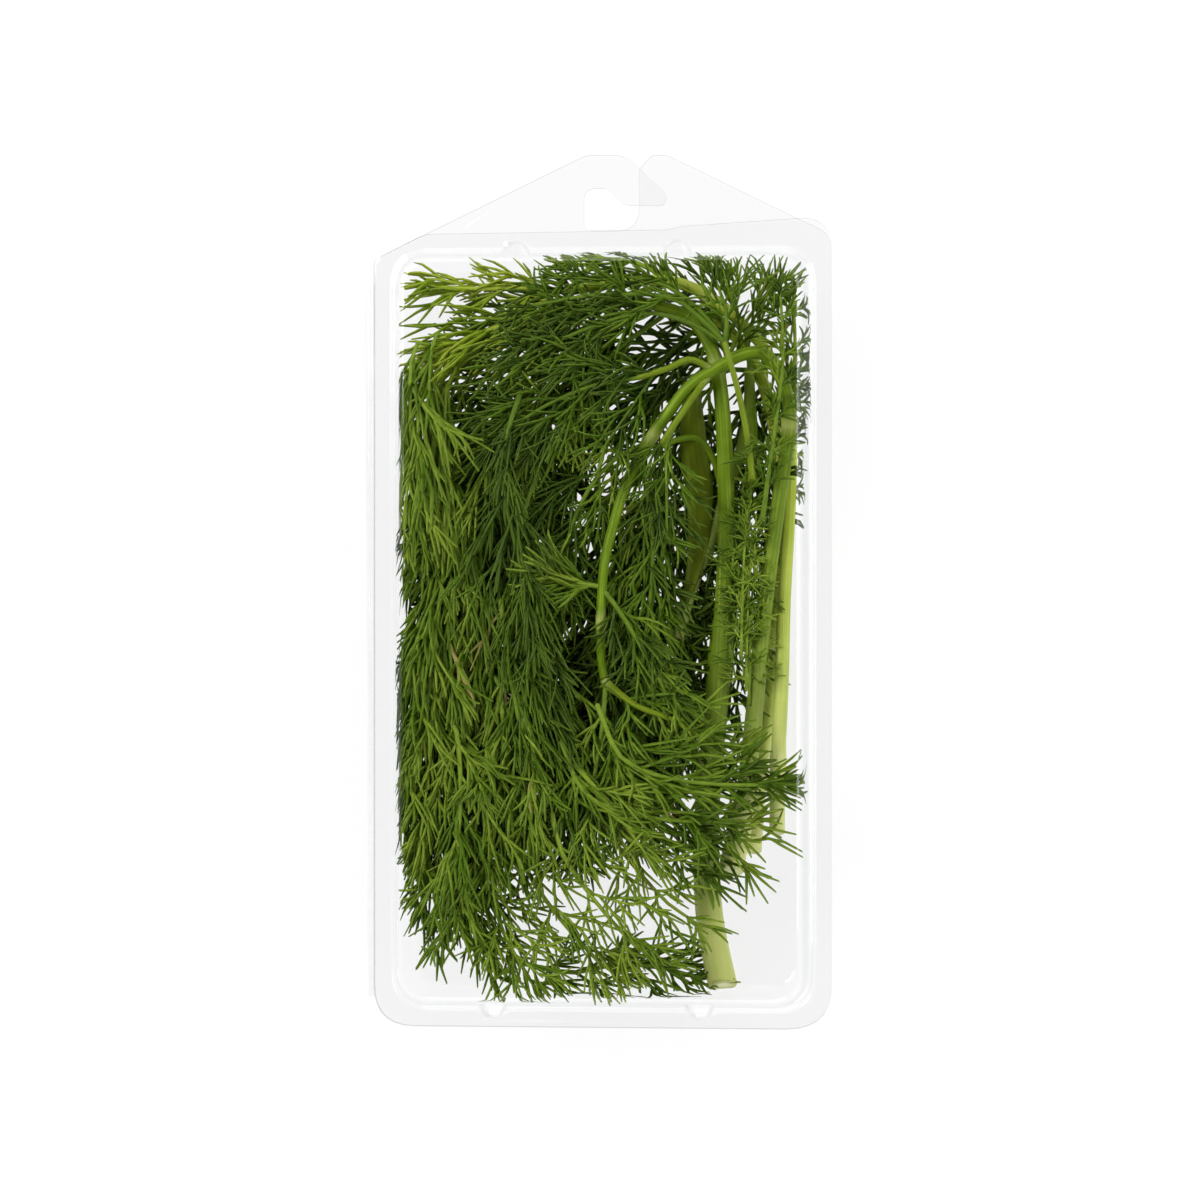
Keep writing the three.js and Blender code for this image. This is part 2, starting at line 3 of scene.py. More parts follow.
import bpy
import numpy as np
from mathutils.geometry import delaunay_2d_cdt
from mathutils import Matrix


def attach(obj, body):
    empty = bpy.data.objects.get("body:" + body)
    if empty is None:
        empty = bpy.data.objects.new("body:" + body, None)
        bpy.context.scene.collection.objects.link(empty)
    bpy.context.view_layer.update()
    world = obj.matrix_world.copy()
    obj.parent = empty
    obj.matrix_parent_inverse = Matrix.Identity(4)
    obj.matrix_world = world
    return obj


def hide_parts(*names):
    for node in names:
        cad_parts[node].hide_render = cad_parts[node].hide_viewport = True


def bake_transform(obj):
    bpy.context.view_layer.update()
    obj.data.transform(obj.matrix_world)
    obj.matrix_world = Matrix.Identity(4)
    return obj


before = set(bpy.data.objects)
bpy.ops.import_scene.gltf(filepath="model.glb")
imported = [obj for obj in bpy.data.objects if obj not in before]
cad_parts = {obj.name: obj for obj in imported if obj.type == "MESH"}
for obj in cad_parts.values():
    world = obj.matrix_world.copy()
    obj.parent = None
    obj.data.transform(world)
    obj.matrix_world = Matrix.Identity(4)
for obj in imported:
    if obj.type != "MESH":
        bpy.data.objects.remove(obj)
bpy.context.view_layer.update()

# ---------------------------------------------------------------- the table and the studio
# The pack lies on a matt white table that glows a little, as a light table does, so that
# nothing but a faint shadow shows round clear plastic. Soft boxes stand to the sides.

MM = 0.001                   # the frame is in metres; sizes below are in millimetres
TABLE_DROP = 0.2             # the table is this far under the pack, so no faces coincide
TABLE_SIZE = 4000
TABLE_WHITE = "#fbfbfb"
TABLE_MATT = "#505050"
TABLE_GLOW = 0.95


def linear(hex_colour):
    """An sRGB hex colour as the linear colour that a node takes."""
    parts = [int(hex_colour[i:i + 2], 16) / 255 for i in (1, 3, 5)]
    return tuple(c / 12.92 if c <= 0.04045 else ((c + 0.055) / 1.055) ** 2.4 for c in parts) + (1,)


def add(tree, kind, inputs=(), stops=(), **settings):
    """Adds a node with its settings, its colour stops and its inputs: values or other outputs."""
    node = tree.nodes.new("ShaderNode" + kind)
    for name, value in settings.items():
        setattr(node, name, value)
    for i, (place, colour) in enumerate(stops):
        stop = node.color_ramp.elements[i] if i < 2 else node.color_ramp.elements.new(place)
        stop.position = place
        stop.color = linear(colour)
    for name, value in dict(inputs).items():
        if isinstance(value, bpy.types.NodeSocket):
            tree.links.new(value, node.inputs[name])
        else:
            node.inputs[name].default_value = value
    return node


def new_material(name):
    """A material with nothing in its tree, ready for nodes."""
    material = bpy.data.materials.new(name)
    material.use_nodes = True
    material.node_tree.nodes.clear()
    return material


def finished(material, shader):
    """The material, with this shader as its surface."""
    add(material.node_tree, "OutputMaterial", {"Surface": shader.outputs[0]})
    return material


def mesh_object(name, points, faces, material):
    """A mesh from points in millimetres."""
    mesh = bpy.data.meshes.new(name)
    mesh.from_pydata([tuple(p) for p in np.asarray(points, float) * MM], [], faces)
    mesh.materials.append(material)
    mesh.validate()
    made = bpy.data.objects.new(name, mesh)
    bpy.context.scene.collection.objects.link(made)
    return made


table_paint = new_material("table_matt_white")
tree = table_paint.node_tree
matt = add(tree, "BsdfDiffuse", {"Color": linear(TABLE_MATT)})
glow = add(tree, "Emission", {"Color": linear(TABLE_WHITE), "Strength": TABLE_GLOW})
finished(table_paint, add(tree, "AddShader", {0: matt.outputs[0], 1: glow.outputs[0]}))
half = TABLE_SIZE / 2
table_top = [(x * half, y * half, -TABLE_DROP) for x, y in ((-1, -1), (1, -1), (1, 1), (-1, 1))]
mesh_object("table", table_top, [(0, 1, 2, 3)], table_paint)

# The room is pale at the horizon and dark overhead, so that the flat face shows no veil.
world = bpy.data.worlds.new("studio")
bpy.context.scene.world = world
world.use_nodes = True
tree = world.node_tree
tree.nodes.clear()
height = add(tree, "SeparateXYZ", {0: add(tree, "TexCoord").outputs["Generated"]}).outputs["Z"]
room = add(tree, "ValToRGB", {"Fac": height}, stops=[
    (0.0, "#fbfbfb"), (0.35, "#c8c8c8"), (0.75, "#6c6c6c"), (0.93, "#0c0c0c"),
])
sky = add(tree, "Background", {"Color": room.outputs["Color"], "Strength": 1.0})
add(tree, "OutputWorld", {"Surface": sky.outputs[0]})


SOFT_BOX = 0.8               # metres across


def soft_box(name, place, power):
    """A square lamp at a place in metres, facing the pack."""
    lamp = bpy.data.lights.new(name, "AREA")
    lamp.shape = "SQUARE"
    lamp.size = SOFT_BOX
    lamp.energy = power
    box = bpy.data.objects.new(name, lamp)
    box.location = place
    direction = np.array(place)
    box.rotation_euler = (
        0,
        math.acos(direction[2] / np.linalg.norm(direction)),
        math.atan2(direction[1], direction[0]),
    )
    bpy.context.scene.collection.objects.link(box)


soft_box("soft_box_left", (-0.9, 0.55, 1.0), power=18.5)
soft_box("soft_box_right", (1.0, 0.2, 0.9), power=10)
soft_box("soft_box_foot", (0.1, -1.1, 0.9), power=4.5)
soft_box("soft_box_head", (0.1, 1.2, 0.8), power=4)

# The camera looks straight down, from a little to the right of the middle.
LENS = 100
SENSOR = 36
VIEW_WIDTH = 261.6           # what the picture takes in across, at the height of the seam
AIM = (0.55, -1.85, 14.4)    # the point looked at
LEAN = math.radians(4)

distance = VIEW_WIDTH * LENS / SENSOR
camera = bpy.data.objects.new("camera", bpy.data.cameras.new("camera"))
camera.data.lens = LENS
camera.data.sensor_width = SENSOR
camera.rotation_euler = (0, LEAN, 0)
camera.location = [
    (AIM[0] + distance * math.sin(LEAN)) * MM, AIM[1] * MM, (AIM[2] + distance * math.cos(LEAN)) * MM,
]
bpy.context.scene.collection.objects.link(camera)
bpy.context.scene.camera = camera
bpy.context.scene.view_settings.view_transform = "Standard"
# Light is followed through two diffuse bounces and no further, to save time.
bpy.context.scene.cycles.diffuse_bounces = 2
# A look along the pack passes through many layers of clear sheet, and none may turn black.
bpy.context.scene.cycles.transparent_max_bounces = 32

# ---------------------------------------------------------------- the tray
# The lower half of the clamshell: one sheet of clear PET, warmed and drawn into a mould. It has
# a drafted wall with a ledge under the flange, and its flange runs up into the tab's fin.

SHEET = 0.42
PACK_LEFT, PACK_RIGHT = -51, 51
PACK_FOOT, PACK_HEAD = -95, 95
FLANGE_LEFT = -48.98
TRAY_SEAM = 14.4             # upper face of the tray's flange
MOUTH_LEFT, MOUTH_RIGHT = -45.2, 47.4
MOUTH_FOOT, MOUTH_HEAD = -91.4, 74.9
MOUTH_CORNER = 8.5
CORNER_STEPS = 14
END_STEPS = 110              # of the walls at the head and foot, which hold the snap lugs
SIDE_STEPS = 24
TAB_AREA = (-34, 40, 76, 94)  # left, right, foot and head of the ribbed part of the flange
TAB_GRID = 0.62
FACE_AREA = (MOUTH_LEFT + 12, MOUTH_RIGHT - 11, MOUTH_FOOT + 12, MOUTH_HEAD - 11)
FACE_GRID = 7
FACE_WAVE = 0.06             # how far the flat face dips, give or take as much again
CUT_ROUNDING = 0.14          # radius of the die-cut edges
SHARP_BEND = math.radians(50)  # a tighter bend than this shows as an edge

FOOT_LEFT = (FLANGE_LEFT, PACK_FOOT, 9)
FOOT_RIGHT = (PACK_RIGHT, PACK_FOOT, 10)
HEAD_LEFT = (FLANGE_LEFT, 72.6, 2)
TRAY_FLANGE = [
    FOOT_LEFT, FOOT_RIGHT, (PACK_RIGHT, 77.5, 8), (44.3, 80.6, 3), (15.2, PACK_HEAD, 3),
    (11.8, PACK_HEAD, 1.6), (9.1, 91.9, 1.2), (9.1, 78.6, 5), (-38, 78.2, 8), HEAD_LEFT,
]
# Outside of the wall: [how far in from the mouth, how far from the seam, radius of the bend].
TRAY_WALL = [
    (-1.2, 0.55, 0), (0.1, 0.55, 0.6), (0.3, 1.9, 0.3), (1.2, 2.2, 0.5), (3.3, 14.4, 2.2),
    (7, 14.4, 0),
]
# Round-ended ribs pressed out of the sheet: the path, half the width and the height.
FIN_RIB = ([(23.6, 79), (23.6, 86.5)], 2.4, 0.35)


def rounded(corners, steps=8, closed=True):
    """A line through corners (x, y, radius), each rounded by a curve where its radius is over 0."""
    line = []
    for i, (x, y, radius) in enumerate(corners):
        here = np.array([x, y], float)
        at_end = not closed and i in (0, len(corners) - 1)
        if radius == 0 or at_end:
            line.append(here)
            continue
        before = np.array(corners[i - 1][:2]) - here
        after = np.array(corners[(i + 1) % len(corners)][:2]) - here
        reach = np.linalg.norm(before), np.linalg.norm(after)
        half_angle = math.acos(np.dot(before, after) / (reach[0] * reach[1])) / 2
        run = min(radius / math.tan(half_angle), reach[0] / 2, reach[1] / 2)
        start = here + before / reach[0] * run
        end = here + after / reach[1] * run
        for t in np.linspace(0, 1, steps):
            line.append(start * (1 - t) ** 2 + here * 2 * t * (1 - t) + end * t ** 2)
    return np.array(line)


def wall_ring(inset):
    """The mouth's rounded rectangle drawn in by an inset, anticlockwise from the foot's left."""
    left, right = MOUTH_LEFT + inset, MOUTH_RIGHT - inset
    foot, head = MOUTH_FOOT + inset, MOUTH_HEAD - inset
    radius = MOUTH_CORNER - inset / 2
    bends = rounded([
        (left, foot, radius), (right, foot, radius), (right, head, radius), (left, head, radius),
    ], steps=CORNER_STEPS).reshape(4, CORNER_STEPS, 2)
    ring = []
    for i, steps in enumerate((END_STEPS, SIDE_STEPS, END_STEPS, SIDE_STEPS)):
        ring.extend(bends[i])
        share = np.linspace(0, 1, steps + 1)[1:-1, None]
        ring.extend(bends[i][-1] * (1 - share) + bends[(i + 1) % 4][0] * share)
    return np.array(ring)


def is_inside(points, loop):
    """Whether each point lies inside a closed loop."""
    x, y = points[:, 0][:, None], points[:, 1][:, None]
    x1, y1 = loop[:, 0], loop[:, 1]
    x2, y2 = np.roll(x1, -1), np.roll(y1, -1)
    spans = (y1 > y) != (y2 > y)
    crossing = x1 + (y - y1) * (x2 - x1) / np.where(y2 == y1, 1e-9, y2 - y1)
    return (spans & (x < crossing)).sum(1) % 2 == 1


def filled(loops, fill_points, keep):
    """Triangles between closed loops, through fill points, where keep(centres) holds."""
    points = np.vstack(loops + [fill_points])
    edges = []
    start = 0
    for loop in loops:
        edges += [(start + i, start + (i + 1) % len(loop)) for i in range(len(loop))]
        start += len(loop)
    found = delaunay_2d_cdt([tuple(p) for p in points], edges, [], 0, 1e-5)
    flat = np.array([tuple(p) for p in found[0]])
    triangles = np.array(found[2])
    return flat, triangles[keep(flat[triangles].mean(1))]


def grid(left, right, foot, head, step):
    """Points of a square grid."""
    across, along = np.meshgrid(np.arange(left, right, step), np.arange(foot, head, step))
    return np.column_stack([across.ravel(), along.ravel()])


def rib_height(points, ribs):
    """How far ribs lift the sheet at each point."""
    lift = np.zeros(len(points))
    for path, half_width, high in ribs:
        for (x1, y1), (x2, y2) in zip(path, path[1:]):
            along = np.array([x2 - x1, y2 - y1])
            share = np.clip((points - (x1, y1)) @ along / (along @ along), 0, 1)
            away = np.linalg.norm(points - (x1, y1) - share[:, None] * along, axis=1)
            swell = np.clip(1 - away / half_width, 0, 1)
            lift = np.maximum(lift, high * swell * swell * (3 - 2 * swell))
    return lift


def formed_sheet(name, flange, wall, seam, side, ribs, shape_ring):
    """Half of the clamshell: flange, wall and face as one thin sheet. side is 1 up, -1 down."""
    profile = rounded(wall, steps=6, closed=False)
    rings = [shape_ring(wall_ring(inset), depth) for inset, depth in profile]
    count = len(rings[0])
    points = [np.column_stack([ring, np.full(count, seam + side * depth)])
              for ring, (_, depth) in zip(rings, profile)]
    faces = []
    for level in range(len(rings) - 1):
        for i in range(count):
            a, b = level * count + i, level * count + (i + 1) % count
            faces.append((a, b, b + count, a + count))
    made = len(rings) * count
    outer = rounded(flange)
    # The flange, with a fine grid in the tab that carries the ribs.
    spread = grid(*TAB_AREA, TAB_GRID)
    spread = spread[is_inside(spread, outer) & ~is_inside(spread, rings[0])]
    flat, triangles = filled(
        [outer, rings[0]], spread, lambda c: is_inside(c, outer) & ~is_inside(c, rings[0]))
    flange_z = seam + side * (profile[0][1] + rib_height(flat, ribs))
    points.append(np.column_stack([flat, flange_z]))
    faces += [tuple(t + made) for t in triangles]
    made += len(flat)
    # The flat face, which dips and waves by a few hundredths of a millimetre.
    last = rings[-1]
    spread = grid(*FACE_AREA, FACE_GRID)
    flat, triangles = filled([last], spread, lambda c: is_inside(c, last))
    wave = FACE_WAVE * (1 + np.sin(flat[:, 0] / 9 + 1) * np.sin(flat[:, 1] / 13))
    wave[~is_inside(flat, last * 0.999)] = 0
    points.append(np.column_stack([flat, seam + side * (profile[-1][1] - wave)]))
    faces += [tuple(t + made) for t in triangles]
    sheet = mesh_object(name, np.vstack(points), faces, pet)
    sheet.data.materials.append(pet_edge)
    thicken(sheet, SHEET, side)
    return sheet


def worked(piece, kind, **settings):
    """Runs one of Blender's modifiers on a piece."""
    bpy.context.view_layer.objects.active = piece
    modifier = piece.modifiers.new(kind.lower(), kind)
    for name, value in settings.items():
        setattr(modifier, name, value)
    bpy.ops.object.modifier_apply(modifier=modifier.name)


def smoothed(piece):
    """Shades a sheet smooth, but for its sharp bends and cut edges."""
    for face in piece.data.polygons:
        face.use_smooth = True
    piece.data.set_sharp_from_angle(angle=SHARP_BEND)


def thicken(sheet, thickness, side):
    """Welds the skin, gives it the sheet's thickness inwards and softens its cut edges."""
    worked(sheet, "WELD", merge_threshold=0.02 * MM)
    bpy.ops.object.mode_set(mode="EDIT")
    bpy.ops.mesh.select_all(action="SELECT")
    bpy.ops.mesh.normals_make_consistent(inside=False)
    bpy.ops.object.mode_set(mode="OBJECT")
    facing_up = sum(p.normal.z * p.area for p in sheet.data.polygons)
    if facing_up * side < 0:
        sheet.data.flip_normals()
    worked(sheet, "SOLIDIFY", thickness=thickness * MM, offset=-1, material_offset_rim=1)
    worked(sheet, "BEVEL", width=CUT_ROUNDING * MM, material=1, segments=2, limit_method="ANGLE",
           angle_limit=math.radians(60))
    smoothed(sheet)


# Clear PET, drawn glossy in a polished mould: it shows as thin grey lines where it turns edge-on
# and as white lines where a bend catches a soft box, and hardly at all where it is flat.
PET_TINT = "#ffffff"         # what one face of the sheet lets through
PET_EDGE = "#f9fafa"         # what it lets through edge-on
PET_GLOSS = 0.027            # share that one face mirrors when seen square on
PET_GLANCE = 0.11            # and when seen edge-on, where the halves mirror one another
PET_TURN = 8                 # the higher, the later the sheet starts to mirror as it turns
PET_ROUGHNESS = 0.06
WAVE_SIZE = 16               # millimetres between the slow waves left by forming
CUT_TINT = "#b9bdbb"         # the die-cut edge is slightly rough, and looks grey from any side
CUT_EDGE = "#a3a7a5"


def clear_pet(name, tint, edge):
    """Clear sheet that lets light through, and mirrors the more of it the more it is turned."""
    material = new_material(name)
    tree = material.node_tree
    facing = add(tree, "LayerWeight", {"Blend": 0.5}).outputs["Facing"]
    steep = add(tree, "Math", {0: facing, 1: PET_TURN}, operation="POWER").outputs[0]
    mirror = add(tree, "MapRange", {"Value": steep, "To Min": PET_GLOSS, "To Max": PET_GLANCE})
    turned = add(tree, "ValToRGB", {"Fac": facing}, stops=[(0.6, tint), (0.99, edge)])
    clear = add(tree, "BsdfTransparent", {"Color": turned.outputs["Color"]})
    where = add(tree, "TexCoord").outputs["Object"]
    waves = add(tree, "TexNoise", {"Vector": where, "Scale": 1 / (WAVE_SIZE * MM), "Detail": 1.5})
    bump = add(tree, "Bump", {"Height": waves.outputs["Fac"], "Strength": 0.25, "Distance": 0.001})
    gloss = add(tree, "BsdfGlossy", {"Roughness": PET_ROUGHNESS, "Normal": bump.outputs["Normal"]})
    return finished(material, add(tree, "MixShader", {
        0: mirror.outputs["Result"], 1: clear.outputs[0], 2: gloss.outputs[0],
    }))


pet = clear_pet("clear_pet_thermoformed", PET_TINT, PET_EDGE)
pet_edge = clear_pet("clear_pet_die_cut_edge", CUT_TINT, CUT_EDGE)
tray = formed_sheet(
    "tray_sheet", TRAY_FLANGE, TRAY_WALL, TRAY_SEAM, -1, [FIN_RIB], lambda ring, depth: ring)
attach(tray, "tray")
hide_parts("tray")

# ---------------------------------------------------------------- the lid
# The upper half, formed in the same sheet. Its layer of the tab is a hook, and half-round lugs
# in its end walls snap over the tray's.

LID_SEAM = 14.7
LID_FLANGE = [
    FOOT_LEFT, FOOT_RIGHT, (PACK_RIGHT, 81.4, 7), (18.6, 79.4, 2), (14.7, 78.6, 1),
    (-2.9, 78.6, 1.9), (-2.9, 87.8, 3.6), (2.2, 87.8, 2.6), (6.2, 84, 3), (14.6, 83.9, 1.9),
    (15.3, 86.2, 1.6), (6, PACK_HEAD, 7), (-2.4, PACK_HEAD, 5), HEAD_LEFT,
]
LID_WALL = [
    (-1.2, 0.55, 0), (0.1, 0.55, 0.6), (0.3, 1.9, 0.3), (1.2, 2.2, 0.5), (1.85, 6.05, 0),
    (1.9, 6.3, 0), (2.75, 11.3, 2.6), (6.5, 11.3, 0),
]
HOOK_LINE = [(-28, 79.4), (-22.5, 83), (-8, 85.6), (-5, 87.5), (-5, 79.4), (-28, 79.4)]
HOOK_RIB = (HOOK_LINE, 1.2, 0.3)
HOOK_DIMPLES = [([(-1.6, 89.5), (0.4, 89.5)], 0.8, 0.3), ([(7.2, 85.7), (10, 85.7)], 0.9, 0.3)]
SNAP_LUGS = [(-17.5, 73.4), (17.5, 73.4), (-22.5, -89.9), (22.5, -89.9)]
LUG_RADIUS = 3.0
LUG_HEIGHT = 6.1
LUG_TAPER = 0.15             # share of its radius that a lug loses up to its top
LUG_FLARE = 1                # how much wider it is at its foot
LUG_FOOT = 0.56              # and how high that foot is
LUG_WALL = 8                 # the end wall is nearer to a lug than this


def with_lugs(ring, depth):
    """Pushes the end walls out round each snap lug."""
    if depth > LUG_HEIGHT:
        return ring
    flare = LUG_FLARE if depth < LUG_FOOT else 0
    radius = LUG_RADIUS * (1 - LUG_TAPER * depth / LUG_HEIGHT) + flare
    for x, y in SNAP_LUGS:
        away = ring[:, 0] - x
        reach = np.sqrt(np.clip(radius ** 2 - away ** 2, 0, None))
        at_wall = (np.abs(away) < radius) & (np.abs(ring[:, 1] - y) < LUG_WALL)
        side = 1 if y > 0 else -1
        pushed = np.maximum(ring[:, 1] * side, (y * side + reach)) * side
        ring[:, 1] = np.where(at_wall, pushed, ring[:, 1])
    return ring


lid = formed_sheet(
    "lid_sheet", LID_FLANGE, LID_WALL, LID_SEAM, 1, [HOOK_RIB, *HOOK_DIMPLES], with_lugs)
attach(lid, "lid")
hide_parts("lid")

# ---------------------------------------------------------------- the hinge
# The strip of the same sheet that joins the halves along the left: it is folded over into a loose bead.

HINGE_FOOT, HINGE_HEAD = -88.5, 71.5
HINGE_LOOP = [
    (-48.7, 14.0, 0), (-49.5, 13.95, 0.3), (-49.8, 13.35, 0.4), (-50.85, 13.7, 0.7),
    (-50.98, 14.55, 0.3), (-50.85, 15.4, 0.7), (-49.8, 15.75, 0.4), (-49.5, 15.15, 0.3),
    (-48.7, 15.1, 0),
]
HINGE_SHEET = 0.3
HINGE_ROWS = 60
BEAD_START, BEAD_WIDTH = -49.2, 1.8
PINCH = 0.5                  # the bead is this much flatter at the foot than at the head
PINCH_FROM, PINCH_OVER = 30, 60
RIPPLE, RIPPLE_LENGTH = 0.06, 5


def build_hinge():
    """The folded web, pinched flatter towards the foot and slightly rippled."""
    section = rounded(HINGE_LOOP, steps=5, closed=False)
    rows = np.linspace(HINGE_FOOT, HINGE_HEAD, HINGE_ROWS)
    points = []
    for y in rows:
        pinch = PINCH * np.clip((PINCH_FROM - y) / PINCH_OVER, 0, 1)
        pinch += RIPPLE * math.sin(y / RIPPLE_LENGTH)
        depth = np.clip((BEAD_START - section[:, 0]) / BEAD_WIDTH, 0, 1)
        points.append(np.column_stack([
            section[:, 0] + np.clip(pinch, 0, 1) * depth, np.full(len(section), y), section[:, 1],
        ]))
    count = len(section)
    faces = [(r * count + i, r * count + i + 1, (r + 1) * count + i + 1, (r + 1) * count + i)
             for r in range(len(rows) - 1) for i in range(count - 1)]
    hinge = mesh_object("hinge_web", np.vstack(points), faces, pet)
    worked(hinge, "SOLIDIFY", thickness=HINGE_SHEET * MM, offset=-1)
    smoothed(hinge)
    return hinge


hinge = build_hinge()
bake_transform(hinge)

# ---------------------------------------------------------------- the stems
# Ribbed stalks of young dill, cut at the foot and folded over at the head. They swell at their
# joints, where a pale sheath wraps them and a leaf leaves.

RING_SPACING = 1.2
STEM_SIDES = 18
STEM_RIBS, RIB_DEPTH = 9, 0.025
JOINT_SWELL, JOINT_LENGTH = 0.16, 2.2
PALE_JOINT, PALE_JOINT_LENGTH = 0.4, 1.6
MOST_PALE = 0.66             # share of the cut's colour that the palest skin takes
CUT_SLANT = 0.5              # how far the foot's cut leans, as a share of its radius
CURVE_STEPS = 24
CUT_DIMPLE = 0.1             # how deep the cut's middle sinks, as a share of its radius
TIP_DOME = 0.8               # how far a stalk's tip rounds out, as a share of its radius
UP = np.array([0, 0, 1.0])

rng = np.random.default_rng(7)


def unit(vectors):
    """Vectors scaled to a length of 1."""
    return vectors / np.maximum(np.linalg.norm(vectors, axis=-1, keepdims=True), 1e-9)


def rings(along, turn, flatness=1.0):
    """The level direction across each direction, and a ring of radius 1 round it."""
    across = unit(np.cross(along, UP))
    up = np.cross(across, along)
    return across, (across[..., None, :] * np.cos(turn)[:, None]
                    + up[..., None, :] * (flatness * np.sin(turn))[:, None])


def smooth_route(route, step):
    """Points along a smooth curve through a route, evenly spaced, and their directions."""
    knots = np.array(route, float)
    padded = np.vstack([2 * knots[0] - knots[1], knots, 2 * knots[-1] - knots[-2]])
    line = []
    for i in range(len(knots) - 1):
        p0, p1, p2, p3 = padded[i:i + 4]
        for t in np.linspace(0, 1, CURVE_STEPS, endpoint=False):
            line.append(0.5 * (2 * p1 + (p2 - p0) * t + (2 * p0 - 5 * p1 + 4 * p2 - p3) * t ** 2
                               + (3 * p1 - p0 - 3 * p2 + p3) * t ** 3))
    line = np.vstack([line, knots[-1:]])
    run = np.concatenate([[0], np.cumsum(np.linalg.norm(np.diff(line, axis=0), axis=1))])
    count = max(4, int(run[-1] / step)) + 1
    even = np.linspace(0, run[-1], count)
    points = np.column_stack([np.interp(even, run, line[:, k]) for k in range(3)])
    along = np.gradient(points, axis=0)
    return points, along / np.linalg.norm(along, axis=1)[:, None], even


# Peppery green skin, ribbed lengthwise, with a soft waxy sheen: fine pale lines run up it, and
# it fades to a pale, almost white green at the cut.
STEM_ROUGHNESS = 0.42
STEM_SHINE = 0.14
RIB_SPACING = 0.55           # millimetres between the fine ribs
FADE_LENGTH = 26             # millimetres over which the pale foot turns green
PITH = "#dedfae"             # the moist white heart seen at the cut


def between(tree, share, first, second):
    """The colour that lies a share of the way from the first to the second."""
    return add(tree, "Mix", {0: share, 6: first, 7: second}, data_type="RGBA").outputs[2]


def stem_skin(name, dark, body, pale, cut):
    """Ribbed skin: growth holds the heart's share in red and the fade's share in green."""
    material = new_material(name)
    tree = material.node_tree
    grown = add(tree, "Attribute", attribute_name="growth").outputs["Color"]
    parts = add(tree, "SeparateColor", {0: grown})
    around = add(tree, "UVMap", uv_map="skin").outputs["UV"]
    stretched = add(tree, "Mapping", {"Vector": around, "Scale": (1 / RIB_SPACING, 0.035, 1)})
    lines = add(tree, "TexNoise", {
        "Vector": stretched.outputs["Vector"], "Scale": 1.0, "Detail": 2.0, "Roughness": 0.6,
    })
    blotch = add(tree, "TexNoise", {
        "Vector": add(tree, "TexCoord").outputs["Object"], "Scale": 120.0, "Detail": 2.0,
    })
    shade = add(tree, "Mix", {2: lines.outputs["Fac"], 3: blotch.outputs["Fac"], 0: 0.35})
    skin = add(tree, "ValToRGB", {"Fac": shade.outputs[0]}, stops=[
        (0.3, dark), (0.52, body), (0.72, pale),
    ])
    faded = between(tree, parts.outputs["Green"], skin.outputs["Color"], linear(cut))
    heart = between(tree, parts.outputs["Red"], faded, linear(PITH))
    bump = add(tree, "Bump", {
        "Height": lines.outputs["Fac"], "Strength": 0.5, "Distance": 0.0002,
    })
    return finished(material, add(tree, "BsdfPrincipled", {
        "Base Color": heart,
        "Roughness": STEM_ROUGHNESS,
        "Specular IOR Level": STEM_SHINE,
        "Normal": bump.outputs["Normal"],
        "Subsurface Weight": 0.15,
        "Subsurface Radius": (0.0012, 0.0018, 0.0004),
        "Subsurface Scale": 1.0,
    }))


